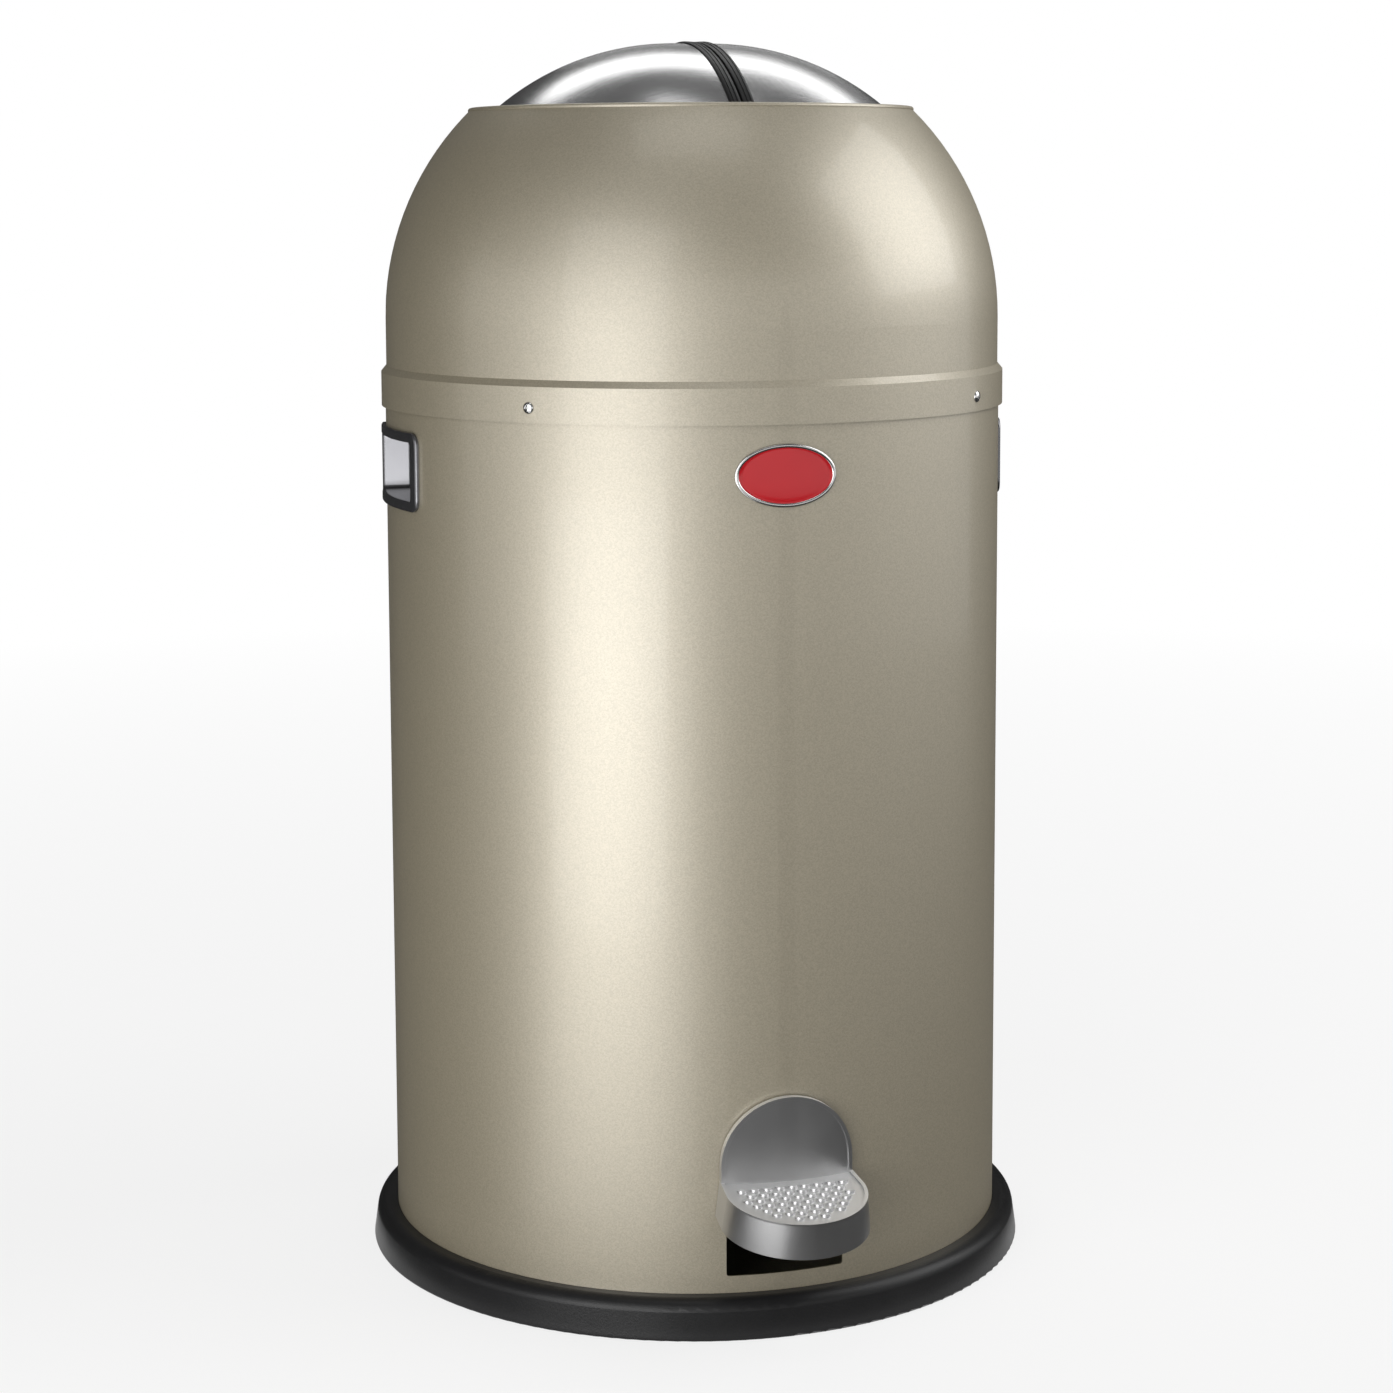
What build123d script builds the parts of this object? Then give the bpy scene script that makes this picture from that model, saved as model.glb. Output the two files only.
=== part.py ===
from build123d import *
from math import acos, asin, atan, cos, degrees, radians, sin, sqrt, tan
import os

# Pedal bin, standing on its base ring. Millimetres, +Z up, front (pedal) towards -Y.
# The origin is on the body's axis, at the floor.

# Sheet metal and clearances
SHEET = 1.0                 # coated steel of body and dome, stainless steel of the lid
SEAT_GAP = 0.3              # between pieces that seat on each other
RUN_GAP = 0.06              # radial, shaft in its bush or bore
PLAY = 1.5                  # between pieces that pass each other

# Base ring, black plastic
RING_HEIGHT = 21.5
RING_OVERHANG = 11.0        # top of the ring beyond the body
RING_FLARE = 3.0            # further out at the floor
RING_SHELF = 6.0            # height of the shelf that carries the body
RING_WIDTH = 24.0           # from the inner wall to the foot
RING_CORNER = 7.0

# Body
BODY_RADIUS = 174.0
BODY_HEIGHT = 485.0         # up to the shoulder
NECK_STEP = 5.5             # how far the neck stands in
NECK_HEIGHT = 12.0          # neck above the shoulder
FLOOR_HEIGHT = 8.0          # underside of the floor plate
FLOOR_FLANGE = 10.0

# Pedal and lever
TREAD_HEIGHT = 82.0         # back edge of the tread
TREAD_HALF_WIDTH = 36.5     # at the back
TREAD_BULGE = 1.5           # wider at its widest
TREAD_STRAIGHT = 12.0       # side length before the round nose
TREAD_SLOPE = 8.5           # degrees, down to the front
TREAD_WALL = 2.6
TREAD_APRON = 18.0          # height of the apron
APRON_FLARE = 2.0
TREAD_RIM = 1.0             # height of the raised edge
TREAD_RIM_WIDTH = 2.0
SHIELD_RISE = 46.0          # top of the shield above the tread
SHIELD_TOP = TREAD_HEIGHT + SHIELD_RISE
SHIELD_GAP = 1.6            # from body to shield
SHIELD_THICKNESS = 2.6
SHIELD_RIM = 0.8
SHIELD_RIM_WIDTH = 2.0
BUMP_RADIUS = 2.7
BUMP_TILT = 18.0            # degrees; a tilted disc leaves a half moon standing out
BUMP_PITCH = 7.0            # across
BUMP_ROW = 5.6              # from row to row
LEVER_WIDTH = 24.0
LEVER_DEPTH = 12.0          # height of the channel
LEVER_SHEET = 2.0
LEVER_DROP = 18.0           # channel centre under the tread's back edge
LEVER_LEVEL = 20.0          # level stretch in front of the axle
AXLE_HEIGHT = 34.0
AXLE_RADIUS = 3.0
REAR_ARM = 101.0            # from the axle to the push rod
OPENING_HALF_WIDTH = 32.5
OPENING_MARGIN = 2.7        # under the lever at full press
OPENING_OVERLAP = 8.0       # opening above the tread's back edge

# Push rod and return spring
ROD_RADIUS = 4.0
CAP_WALL = 1.0              # nylon end caps round the rod
SPRING_RADIUS = 7.4         # centre of the wire
SPRING_WIRE = 0.8           # wire radius
SPRING_LENGTH = 62.0
SPRING_TURNS = 7
UPPER_GUIDE_DROP = 85.0     # underside of the upper guide below the shoulder
LOWER_GUIDE = 110.0

# Liner
LINER_SHEET = 0.9
LINER_CORNER = 10.0
LINER_BEAD = 2.4            # radius of the rolled rim
BAIL_WIRE = 2.0             # wire radius
EAR_HALF_HEIGHT = 5.0       # ears under the liner's rolled rim
GRIP_RADIUS = 5.5

# Dome
SKIRT_PROUD = 2.2           # skirt beyond the body
SKIRT_LAP = 1.5             # skirt below the body's shoulder
SKIRT_HEIGHT = 19.0
BEAD_HEIGHT = 3.5           # step from the skirt to the dome
DOME_SET_IN = 0.7           # dome inside the body's radius
MOUTH_RADIUS = 122.5
MOUTH_BEAD = 1.5

# Lid: two flaps, each part of a sphere, turning on two parallel axes
LID_OFFSET = 11.3           # from the dome's axis to each flap's axis
LID_GAP = 9.0               # from the flaps to the dome's outside
LID_LAP = 52.0              # degrees, from the top to the flap's lower edge
LID_SWING = 50.0            # degrees of opening
LID_SEAM = 0.5              # half the gap between the flaps
SEAL_WIDTH = 6.4
SEAL_LIP = 1.1
SEAL_NOSE = 1.3
PLATE = 2.0                 # sheet of brackets, end plates and cranks
PIVOT_RADIUS = 3.0
PIN_RADIUS = 2.0            # drive pin
SLOT_PLAY = 0.45
HUB_RADIUS = 9.0
BUSH_WALL = 1.5
BUSH_FLANGE = 0.9

# Ring under the dome, and small hardware
FLANGE_SHEET = 1.2
FLANGE_WIDTH = 16.5
HOOP_RISE = 2.5             # lower edge of the hoop above the shoulder
RIVET_RADIUS = 2.0
SCREW_RADIUS = 1.8
SCREW_HEAD = 3.2
HINGE_RADIUS = 5.0
HINGE_PIN = 2.5
HINGE_OFFSET = 9.0          # hinge axis behind the body
HINGE_DROP = 2.0            # hinge axis below the shoulder
LEAF = 2.0

# Side grips and badge
GRIP_HALF_WIDTH = 48.0
GRIP_HEIGHT = 43.4
GRIP_DROP = 12.0            # top of the grips below the shoulder
GRIP_BORDER = 4.4           # frame above and below the finger cup
GRIP_SIDE = 6.6             # frame at the cup's ends
GRIP_WALL = 1.4
GRIP_PROUD = 2.6
GRIP_CORNER = 7.0
GRIP_DEPTH = 15.0
BADGE_DROP = 28.0           # middle of the badge below the shoulder
BADGE_HALF_WIDTH = 27.5
BADGE_HALF_HEIGHT = 16.5
BADGE_THICKNESS = 1.4

# Heights and radii that follow from these
BODY_INNER = BODY_RADIUS - SHEET
NECK_OUTER = BODY_RADIUS - NECK_STEP
NECK_INNER = NECK_OUTER - SHEET
NECK_TOP = BODY_HEIGHT + NECK_HEIGHT
FLOOR_TOP = FLOOR_HEIGHT + PLATE / 2
FLANGE_LOW = NECK_TOP + SEAT_GAP
FLANGE_TOP = FLANGE_LOW + FLANGE_SHEET
SKIRT_RADIUS = BODY_RADIUS + SKIRT_PROUD
SKIRT_LOW = BODY_HEIGHT - SKIRT_LAP
SKIRT_TOP = SKIRT_LOW + SKIRT_HEIGHT
HOOP_OUTER = SKIRT_RADIUS - SHEET - SEAT_GAP
HOOP_INNER = HOOP_OUTER - FLANGE_SHEET
HOOP_LOW = BODY_HEIGHT + HOOP_RISE
FLANGE_INNER = HOOP_OUTER - FLANGE_WIDTH
DOME_RADIUS = BODY_RADIUS - DOME_SET_IN
DOME_ARC = DOME_RADIUS - LID_OFFSET
LID_RADIUS = DOME_ARC - LID_GAP
LID_OPEN_DROP = LID_RADIUS * sin(radians(LID_LAP + LID_SWING - 90))
LID_HEIGHT = FLANGE_TOP + PLAY + 0.2 + LID_OPEN_DROP

ROD_Y = NECK_INNER - PLAY - ROD_RADIUS
ROD_LOW = AXLE_HEIGHT + LEVER_DEPTH / 2 + 3.0 + SEAT_GAP
ROD_TOP = NECK_TOP - 0.5
ROD_RISE = 2 * LID_OFFSET * tan(radians(LID_SWING / 2))
AXLE_Y = ROD_Y - REAR_ARM
PEDAL_PRESS = degrees(asin(ROD_RISE / REAR_ARM))
UPPER_GUIDE = BODY_HEIGHT - UPPER_GUIDE_DROP
LINER_RADIUS = ROD_Y - SPRING_RADIUS - SPRING_WIRE - 1.8
LEVER_FRONT = TREAD_HEIGHT - LEVER_DROP
LINER_LOW = LEVER_FRONT + LEVER_DEPTH / 2 + 2.0
LINER_TOP = NECK_TOP - 7.0
BAIL_AXIS = LINER_TOP - 2 * LINER_BEAD - 0.4 - EAR_HALF_HEIGHT

# Planes behind the dome's rear bracket, counted forward from the drive stem
RIGHT_CRANK = ROD_Y - ROD_RADIUS - PLAY - PLATE / 2
LEFT_CRANK = RIGHT_CRANK - PLATE - 0.6
BRACKET_Y = LEFT_CRANK - PLATE - PLAY
LID_END = BRACKET_Y - PLATE / 2 - PLAY
PLATE_Y = LID_END - PLATE / 2
PLATE_RADIUS = sqrt((LID_RADIUS - SHEET) ** 2 - LID_END ** 2) - SEAT_GAP
PIN_Z = LID_HEIGHT - ROD_RISE / 2
STEM_GUIDE = LID_HEIGHT + 20.0
STEM_TOP = STEM_GUIDE + 6.0

HINGE_Y = BODY_RADIUS + HINGE_OFFSET
HINGE_Z = BODY_HEIGHT - HINGE_DROP
GRIP_MIDDLE = BODY_HEIGHT - GRIP_DROP - GRIP_HEIGHT / 2
BADGE_MIDDLE = BODY_HEIGHT - BADGE_DROP
SHIELD_INNER = BODY_RADIUS + SHIELD_GAP
SHIELD_OUTER = SHIELD_INNER + SHIELD_THICKNESS
BAIL_RADIUS = PLATE_Y - PLATE / 2 - PLAY - 1.5 - GRIP_RADIUS


def turned(points):
    """Solid of revolution about Z from its (radius, height) outline."""
    return revolve(Plane.XZ * make_face(Polyline(*points, close=True)), Axis.Z)


def tube(outer, inner, low, high):
    """Upright tube on the Z axis."""
    height = high - low
    wall = Cylinder(outer, height) - Cylinder(inner, height)
    return Pos(0, 0, low + height / 2) * wall


def along_y(shape, x, y, z):
    """Places a Z-centred shape with its axis along Y."""
    return Pos(x, y, z) * Rot(90, 0, 0) * shape


def along_x(shape, x, y, z):
    """Places a Z-centred shape with its axis along X."""
    return Pos(x, y, z) * Rot(0, 90, 0) * shape


def upright(shape, x, y, low, height):
    """Places a Z-centred shape of that height on a level."""
    return Pos(x, y, low + height / 2) * shape


def round_head(radius, height):
    """Low domed screw or rivet head, flat side on z = 0."""
    ball = (radius ** 2 + height ** 2) / (2 * height)
    dome = Pos(0, 0, height - ball) * Sphere(ball)
    return dome & Pos(0, 0, height / 2) * Cylinder(radius, height)


def radial_screw(angle, seat, depth, height, radius=SCREW_RADIUS, head=SCREW_HEAD):
    """Screw driven towards the axis, its head seated on a cylinder of radius seat."""
    shank = Pos(0, 0, -depth / 2) * Cylinder(radius, depth)
    screw = shank + round_head(head, 1.7)
    return Rot(0, 0, angle) * Pos(seat, 0, height) * Rot(0, 90, 0) * screw


def radial_hole(angle, radius, reach, height):
    """Cutter for a radial screw."""
    return Rot(0, 0, angle) * along_x(Cylinder(radius, 40), reach, 0, height)


SCREW_ANGLES = (45, 135, 225, 315)
SKIRT_SCREW_Z = HOOP_LOW + 4.0
BODY_LEAF_SCREWS = ((-14, -13.5), (14, -13.5), (-14, -23), (14, -23))
DOME_LEAF_SCREWS = ((-10, 13), (10, 13))


def leaf_screw_place(x, drop):
    """Angle about the axis and height of a hinge screw at x."""
    return 90 - degrees(asin(x / BODY_RADIUS)), HINGE_Z + drop


def base_ring():
    foot = BODY_RADIUS + RING_OVERHANG + RING_FLARE
    groove = BODY_RADIUS + SEAT_GAP
    outline = make_face(Polyline(
        (foot - RING_WIDTH, 0),
        (foot, 0),
        (foot - RING_FLARE, RING_HEIGHT),
        (groove, RING_HEIGHT),
        (groove, RING_SHELF),
        (foot - RING_WIDTH, RING_SHELF),
        close=True))
    corner = outline.vertices().sort_by_distance((foot - RING_FLARE, RING_HEIGHT, 0))[0]
    outline = fillet(corner, RING_CORNER)
    toe = outline.vertices().sort_by_distance((foot, 0, 0))[0]
    outline = fillet(toe, 1.5)
    return revolve(Plane.XZ * outline, Axis.Z)


def body_floor():
    """Dished plate with an upturned flange against the wall."""
    outer = BODY_INNER - SEAT_GAP
    inner = outer - SHEET
    plate = turned([(0, FLOOR_HEIGHT), (outer, FLOOR_HEIGHT), (outer, FLOOR_TOP + FLOOR_FLANGE),
                    (inner, FLOOR_TOP + FLOOR_FLANGE), (inner, FLOOR_TOP), (0, FLOOR_TOP)])
    for x in (-1, 1):
        for y in (-1, 1):
            plate -= upright(Cylinder(SCREW_RADIUS, 8), x * 24, AXLE_Y + y * 12, FLOOR_HEIGHT - 3, 8)
    return plate


def opening_low():
    """Lower edge of the pedal opening, clear of the lever at full press."""
    reach = BODY_RADIUS + AXLE_Y
    lever_low = LEVER_FRONT - LEVER_DEPTH / 2 - AXLE_HEIGHT
    press = radians(PEDAL_PRESS)
    return AXLE_HEIGHT + lever_low * cos(press) - reach * sin(press) - OPENING_MARGIN


def body_shell():
    """Rolled cylinder with a neck, a pedal opening and two grip windows."""
    shoulder = BODY_HEIGHT
    shell = turned([
        (BODY_RADIUS, RING_SHELF), (BODY_RADIUS, shoulder - 1), (NECK_OUTER, shoulder + 3),
        (NECK_OUTER, NECK_TOP), (NECK_INNER, NECK_TOP), (NECK_INNER, shoulder + 2.5),
        (BODY_INNER, shoulder - 1.5), (BODY_INNER, RING_SHELF)])
    low = opening_low()
    high = TREAD_HEIGHT + OPENING_OVERLAP
    opening = RectangleRounded(2 * OPENING_HALF_WIDTH, high - low, 1.5)
    shell -= Pos(0, -BODY_RADIUS, (low + high) / 2) * Rot(90, 0, 0) * extrude(opening, 20, both=True)
    for side in (-1, 1):
        shell -= Pos(side * BODY_RADIUS, 0, GRIP_MIDDLE) * grip_block(-SEAT_GAP, 40)
        for y in (-1, 1):
            shell -= grip_stud_hole(side, y)
    for x, drop in BODY_LEAF_SCREWS:
        angle, height = leaf_screw_place(x, drop)
        shell -= radial_hole(angle, SCREW_RADIUS, BODY_RADIUS, height)
    return shell


def grip_block(inset, depth):
    """Rounded block along X with the finger cup's outline, drawn in by inset."""
    width = 2 * (GRIP_HALF_WIDTH - GRIP_SIDE - inset)
    height = GRIP_HEIGHT - 2 * (GRIP_BORDER + inset)
    outline = RectangleRounded(height, width, 4 - inset)
    return Rot(0, 90, 0) * extrude(outline, depth / 2, both=True)


def grip_frame_block(depth):
    """Rounded block along X with the frame's outline."""
    outline = RectangleRounded(GRIP_HEIGHT, 2 * GRIP_HALF_WIDTH, GRIP_CORNER)
    return Rot(0, 90, 0) * extrude(outline, depth / 2, both=True)


def grip_stud_angle(y):
    """Angle from the X axis of a stud in the middle of the grip's border."""
    return degrees(asin(y * (GRIP_HALF_WIDTH - GRIP_SIDE / 2) / BODY_RADIUS))


def grip_stud_hole(side, y):
    angle = grip_stud_angle(y) if side > 0 else 180 + grip_stud_angle(y)
    return radial_hole(angle, 1.6, BODY_RADIUS, GRIP_MIDDLE)


def grip(side):
    """Moulded finger cup with a proud frame, curved to the body."""
    outer = BODY_RADIUS + GRIP_PROUD
    seat = BODY_RADIUS + SEAT_GAP
    back = BODY_RADIUS - GRIP_DEPTH
    low = GRIP_MIDDLE - GRIP_HEIGHT
    high = GRIP_MIDDLE + GRIP_HEIGHT
    place = Pos(BODY_RADIUS, 0, GRIP_MIDDLE)
    frame = tube(outer, seat, low, high) & place * grip_frame_block(80)
    cup = tube(seat + 0.5, back, low, high) & place * grip_block(0, 80)
    pocket = tube(outer + 5, back + GRIP_WALL, low, high) & place * grip_block(GRIP_WALL, 80)
    body = frame + cup - pocket
    for y in (-1, 1):
        stud = Pos(BODY_RADIUS - 1.5, 0, GRIP_MIDDLE) * Rot(0, 90, 0) * Cylinder(1.5, 5)
        body += Rot(0, 0, grip_stud_angle(y)) * stud
    return body if side > 0 else Rot(0, 0, 180) * body


def grip_nuts():
    """Push-on nuts on the grips' studs, inside the body."""
    nuts = []
    for side in (0, 180):
        for y in (-1, 1):
            nut = Cylinder(2.6, 1.2) - Cylinder(1.55, 1.2)
            place = Pos(BODY_INNER - SEAT_GAP - 0.7, 0, GRIP_MIDDLE) * Rot(0, 90, 0)
            nuts.append(Rot(0, 0, side + grip_stud_angle(y)) * place * nut)
    return Compound(nuts)


def badge_plate():
    """Plain oval enamel plate with a raised metal edge, curved to the body."""
    inner = BODY_RADIUS + SEAT_GAP
    outer = inner + BADGE_THICKNESS
    low = BADGE_MIDDLE - 2 * BADGE_HALF_HEIGHT
    high = BADGE_MIDDLE + 2 * BADGE_HALF_HEIGHT
    whole = Ellipse(BADGE_HALF_WIDTH, BADGE_HALF_HEIGHT)
    field = Ellipse(BADGE_HALF_WIDTH - 2, BADGE_HALF_HEIGHT - 2)
    place = Pos(0, -BODY_RADIUS, BADGE_MIDDLE) * Rot(90, 0, 0)
    plate = tube(outer, inner, low, high) & place * extrude(whole, 20, both=True)
    recess = tube(outer + 1, outer - 0.5, low, high) & place * extrude(field, 20, both=True)
    return plate - recess


def lever_outline(upper, lower, rear, front):
    """Side view of the lever between two offsets from its centre line."""
    level = AXLE_Y - LEVER_LEVEL
    top = [(rear, AXLE_HEIGHT + upper), (level, AXLE_HEIGHT + upper),
           (-BODY_RADIUS, LEVER_FRONT + upper), (front, LEVER_FRONT + upper)]
    bottom = [(front, LEVER_FRONT + lower), (-BODY_RADIUS, LEVER_FRONT + lower),
              (level, AXLE_HEIGHT + lower), (rear, AXLE_HEIGHT + lower)]
    return make_face(Polyline(*top, *bottom, close=True))


PEDAL_SCREWS = (SHIELD_OUTER + 9, SHIELD_OUTER + 24)
LEVER_TIP = SHIELD_OUTER + 31
LEVER_REAR = ROD_Y + 7.5


def pedal_lever():
    """Steel channel, open downwards, bent up to the pedal."""
    half = LEVER_DEPTH / 2
    outer = lever_outline(half, -half, LEVER_REAR, -LEVER_TIP)
    inner = lever_outline(half - LEVER_SHEET, -half - 3, LEVER_REAR + 5, -LEVER_TIP - 5)
    channel = extrude(Plane.YZ * outer, LEVER_WIDTH / 2, both=True)
    hollow = extrude(Plane.YZ * inner, LEVER_WIDTH / 2 - LEVER_SHEET, both=True)
    lever = channel - hollow
    lever -= along_x(Cylinder(AXLE_RADIUS + BUSH_WALL, LEVER_WIDTH + 10), 0, AXLE_Y, AXLE_HEIGHT)
    for reach in PEDAL_SCREWS:
        lever -= upright(Cylinder(2.0, 30), 0, -reach, LEVER_FRONT - 5, 30)
    lever -= upright(Cylinder(2.0, 20), 0, ROD_Y, AXLE_HEIGHT - 2, 20)
    return lever


def lever_pad():
    """Nylon pad pressed into the lever under the push rod."""
    top = AXLE_HEIGHT + LEVER_DEPTH / 2
    pad = upright(Cylinder(6, 3), 0, ROD_Y, top, 3)
    pad = fillet(pad.edges().group_by(Axis.Z)[-1], 0.8)
    length = LEVER_SHEET + 2
    return pad + upright(Cylinder(2.0, length), 0, ROD_Y, top - length, length)


def axle_bush():
    """Nylon tube pressed through the lever's walls."""
    length = LEVER_WIDTH + 1.0
    bush = Cylinder(AXLE_RADIUS + BUSH_WALL, length) - Cylinder(AXLE_RADIUS + RUN_GAP, length)
    return along_x(bush, 0, AXLE_Y, AXLE_HEIGHT)


EAR_X = LEVER_WIDTH / 2 + 0.5 + 0.5 + PLATE / 2


def lever_bracket():
    """U-shaped bearing bracket, screwed to the floor."""
    base = upright(Box(64, 40, PLATE), 0, AXLE_Y, FLOOR_TOP, PLATE)
    base = fillet(base.edges().filter_by(Axis.Z), 5)
    height = AXLE_HEIGHT + 8 - FLOOR_TOP
    ear_side = Pos(0, height / 2) * Rectangle(28, height)
    ear_side = fillet(ear_side.vertices().group_by(Axis.Y)[-1], 8)
    for x in (-EAR_X, EAR_X):
        ear = Rot(0, 0, 90) * Rot(90, 0, 0) * extrude(ear_side, PLATE / 2, both=True)
        base += Pos(x, AXLE_Y, FLOOR_TOP) * ear
    base -= along_x(Cylinder(AXLE_RADIUS, 60), 0, AXLE_Y, AXLE_HEIGHT)
    for x in (-1, 1):
        for y in (-1, 1):
            base -= upright(Cylinder(SCREW_RADIUS, 10), x * 24, AXLE_Y + y * 12, FLOOR_TOP - 2, 10)
    return base


def bracket_screws():
    """Four screws from under the floor, with their nuts on the bracket."""
    screws = []
    for x in (-1, 1):
        for y in (-1, 1):
            place = Pos(x * 24, AXLE_Y + y * 12, 0)
            length = FLOOR_TOP + PLATE + 4 - FLOOR_HEIGHT
            shank = Pos(0, 0, FLOOR_HEIGHT + length / 2) * Cylinder(SCREW_RADIUS, length)
            head = Pos(0, 0, FLOOR_HEIGHT) * Rot(180, 0, 0) * round_head(SCREW_HEAD, 1.7)
            nut = Pos(0, 0, FLOOR_TOP + PLATE) * extrude(RegularPolygon(3.6, 6), 2.8)
            screws.append(place * (shank + head + nut))
    return Compound(screws)


AXLE_LENGTH = 2 * EAR_X + PLATE + 7


def lever_axle():
    axle = Cylinder(AXLE_RADIUS, AXLE_LENGTH)
    axle = chamfer(axle.edges().filter_by(GeomType.CIRCLE), 0.6)
    for end in (-1, 1):
        groove = Cylinder(AXLE_RADIUS, 1.1) - Cylinder(AXLE_RADIUS - 0.7, 1.1)
        axle -= Pos(0, 0, end * (EAR_X + PLATE / 2 + 0.85)) * groove
    return along_x(axle, 0, AXLE_Y, AXLE_HEIGHT)


def axle_clips():
    """Spring clips in the axle's grooves."""
    clips = []
    outline = Circle(AXLE_RADIUS + 2.5) - Circle(AXLE_RADIUS - 0.65) - Pos(0, -4) * Rectangle(3.2, 6)
    for end in (-1, 1):
        clip = extrude(outline, 0.4, both=True)
        clips.append(along_x(clip, end * (EAR_X + PLATE / 2 + 0.85), AXLE_Y, AXLE_HEIGHT))
    return Compound(clips)


def lever_buffer():
    """Rubber post that stops the lever's rear arm at rest."""
    top = AXLE_HEIGHT - LEVER_DEPTH / 2 - SEAT_GAP
    height = top - FLOOR_TOP
    post = Cone(13, 11, height)
    post = fillet(post.edges().group_by(Axis.Z)[-1], 1.5)
    return upright(post, 0, ROD_Y - 30, FLOOR_TOP, height)


STAND_RADIUS = 110.0
STAND_WIDTH = 34.0
STAND_LEG = 26.0
STAND_FOOT = 14.0


def liner_stand():
    """Pressed platform with four legs that carries the liner over the lever."""
    top = LINER_LOW - SEAT_GAP
    low = top - PLATE
    stand = tube(STAND_RADIUS, STAND_RADIUS - STAND_WIDTH, low, top)
    side = make_face(Polyline(
        (STAND_RADIUS - PLATE, low), (STAND_RADIUS - PLATE, FLOOR_TOP),
        (STAND_RADIUS + STAND_FOOT, FLOOR_TOP), (STAND_RADIUS + STAND_FOOT, FLOOR_TOP + PLATE),
        (STAND_RADIUS, FLOOR_TOP + PLATE), (STAND_RADIUS, top),
        (STAND_RADIUS - 2 * PLATE, top), (STAND_RADIUS - 2 * PLATE, low), close=True))
    for angle in SCREW_ANGLES:
        stand += Rot(0, 0, angle) * extrude(Plane.XZ * side, STAND_LEG / 2, both=True)
    return stand


GUIDE_HALF_WIDTH = 14.0
GUIDE_FLANGE = 18.0


def rod_guide(low, flange_up):
    """Angle bracket welded to the rear wall, with a hole for the push rod."""
    wall = BODY_INNER - SEAT_GAP
    bottom = low if flange_up else low + PLATE - GUIDE_FLANGE
    top = bottom + GUIDE_FLANGE
    sector = Pos(0, ROD_Y + 10, (bottom + top) / 2) * Box(2 * GUIDE_HALF_WIDTH, 30, GUIDE_FLANGE)
    flange = tube(wall, wall - PLATE, bottom, top) & sector
    shelf = make_face(Polyline((-GUIDE_HALF_WIDTH, wall - 4), (-8, LINER_RADIUS + 2),
                               (8, LINER_RADIUS + 2), (GUIDE_HALF_WIDTH, wall - 4), close=True))
    shelf = extrude(Pos(0, 0, low) * shelf, PLATE)
    rim = tube(wall, wall - 6, low, low + PLATE) & sector
    hole = upright(Cylinder(ROD_RADIUS + RUN_GAP, 10), 0, ROD_Y, low - 4, 10)
    return flange + shelf + rim - hole


def return_spring():
    """Compression spring round the push rod, under the upper guide."""
    top = UPPER_GUIDE - SEAT_GAP - SPRING_WIRE
    low = UPPER_GUIDE - SPRING_LENGTH + SEAT_GAP + SPRING_WIRE
    path = Helix(pitch=(top - low) / SPRING_TURNS, height=top - low, radius=SPRING_RADIUS)
    section = Plane(origin=path @ 0, z_dir=path % 0) * Circle(SPRING_WIRE)
    return Pos(0, ROD_Y, low) * sweep(section, path=path, is_frenet=True)


def spring_collar():
    """Steel collar fixed on the rod; the spring stands on it."""
    top = UPPER_GUIDE - SPRING_LENGTH
    collar = Cylinder(SPRING_RADIUS + SPRING_WIRE, 6) - Cylinder(ROD_RADIUS, 6)
    return upright(collar, 0, ROD_Y, top - 6, 6)


def push_rod():
    length = ROD_TOP - CAP_WALL - ROD_LOW - 2
    rod = Cylinder(ROD_RADIUS, length)
    rod -= Pos(0, 0, length / 2 - 3.5) * (Cylinder(ROD_RADIUS, 7) - Cylinder(ROD_RADIUS - CAP_WALL, 7))
    rod -= Pos(0, 0, -length / 2 + 3.5) * (Cylinder(ROD_RADIUS, 7) - Cylinder(ROD_RADIUS - CAP_WALL, 7))
    return upright(rod, 0, ROD_Y, ROD_LOW + 2, length)


def rod_foot():
    """Nylon foot with a rounded end that rests on the lever's pad."""
    foot = Cylinder(ROD_RADIUS, 9) - Pos(0, 0, 1) * Cylinder(ROD_RADIUS - CAP_WALL, 7)
    ball = 2 * ROD_RADIUS
    foot &= Pos(0, 0, ball - 4.5) * Sphere(ball) + Pos(0, 0, 3) * Cylinder(ROD_RADIUS, 9)
    return upright(foot, 0, ROD_Y, ROD_LOW, 9)


def rod_cap():
    """Nylon cap on the rod's upper end."""
    height = 7 + CAP_WALL
    cap = Cylinder(ROD_RADIUS, height) - Pos(0, 0, -CAP_WALL) * Cylinder(ROD_RADIUS - CAP_WALL, height)
    cap = fillet(cap.edges().group_by(Axis.Z)[-1], 0.5)
    return upright(cap, 0, ROD_Y, ROD_TOP - height, height)


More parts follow.
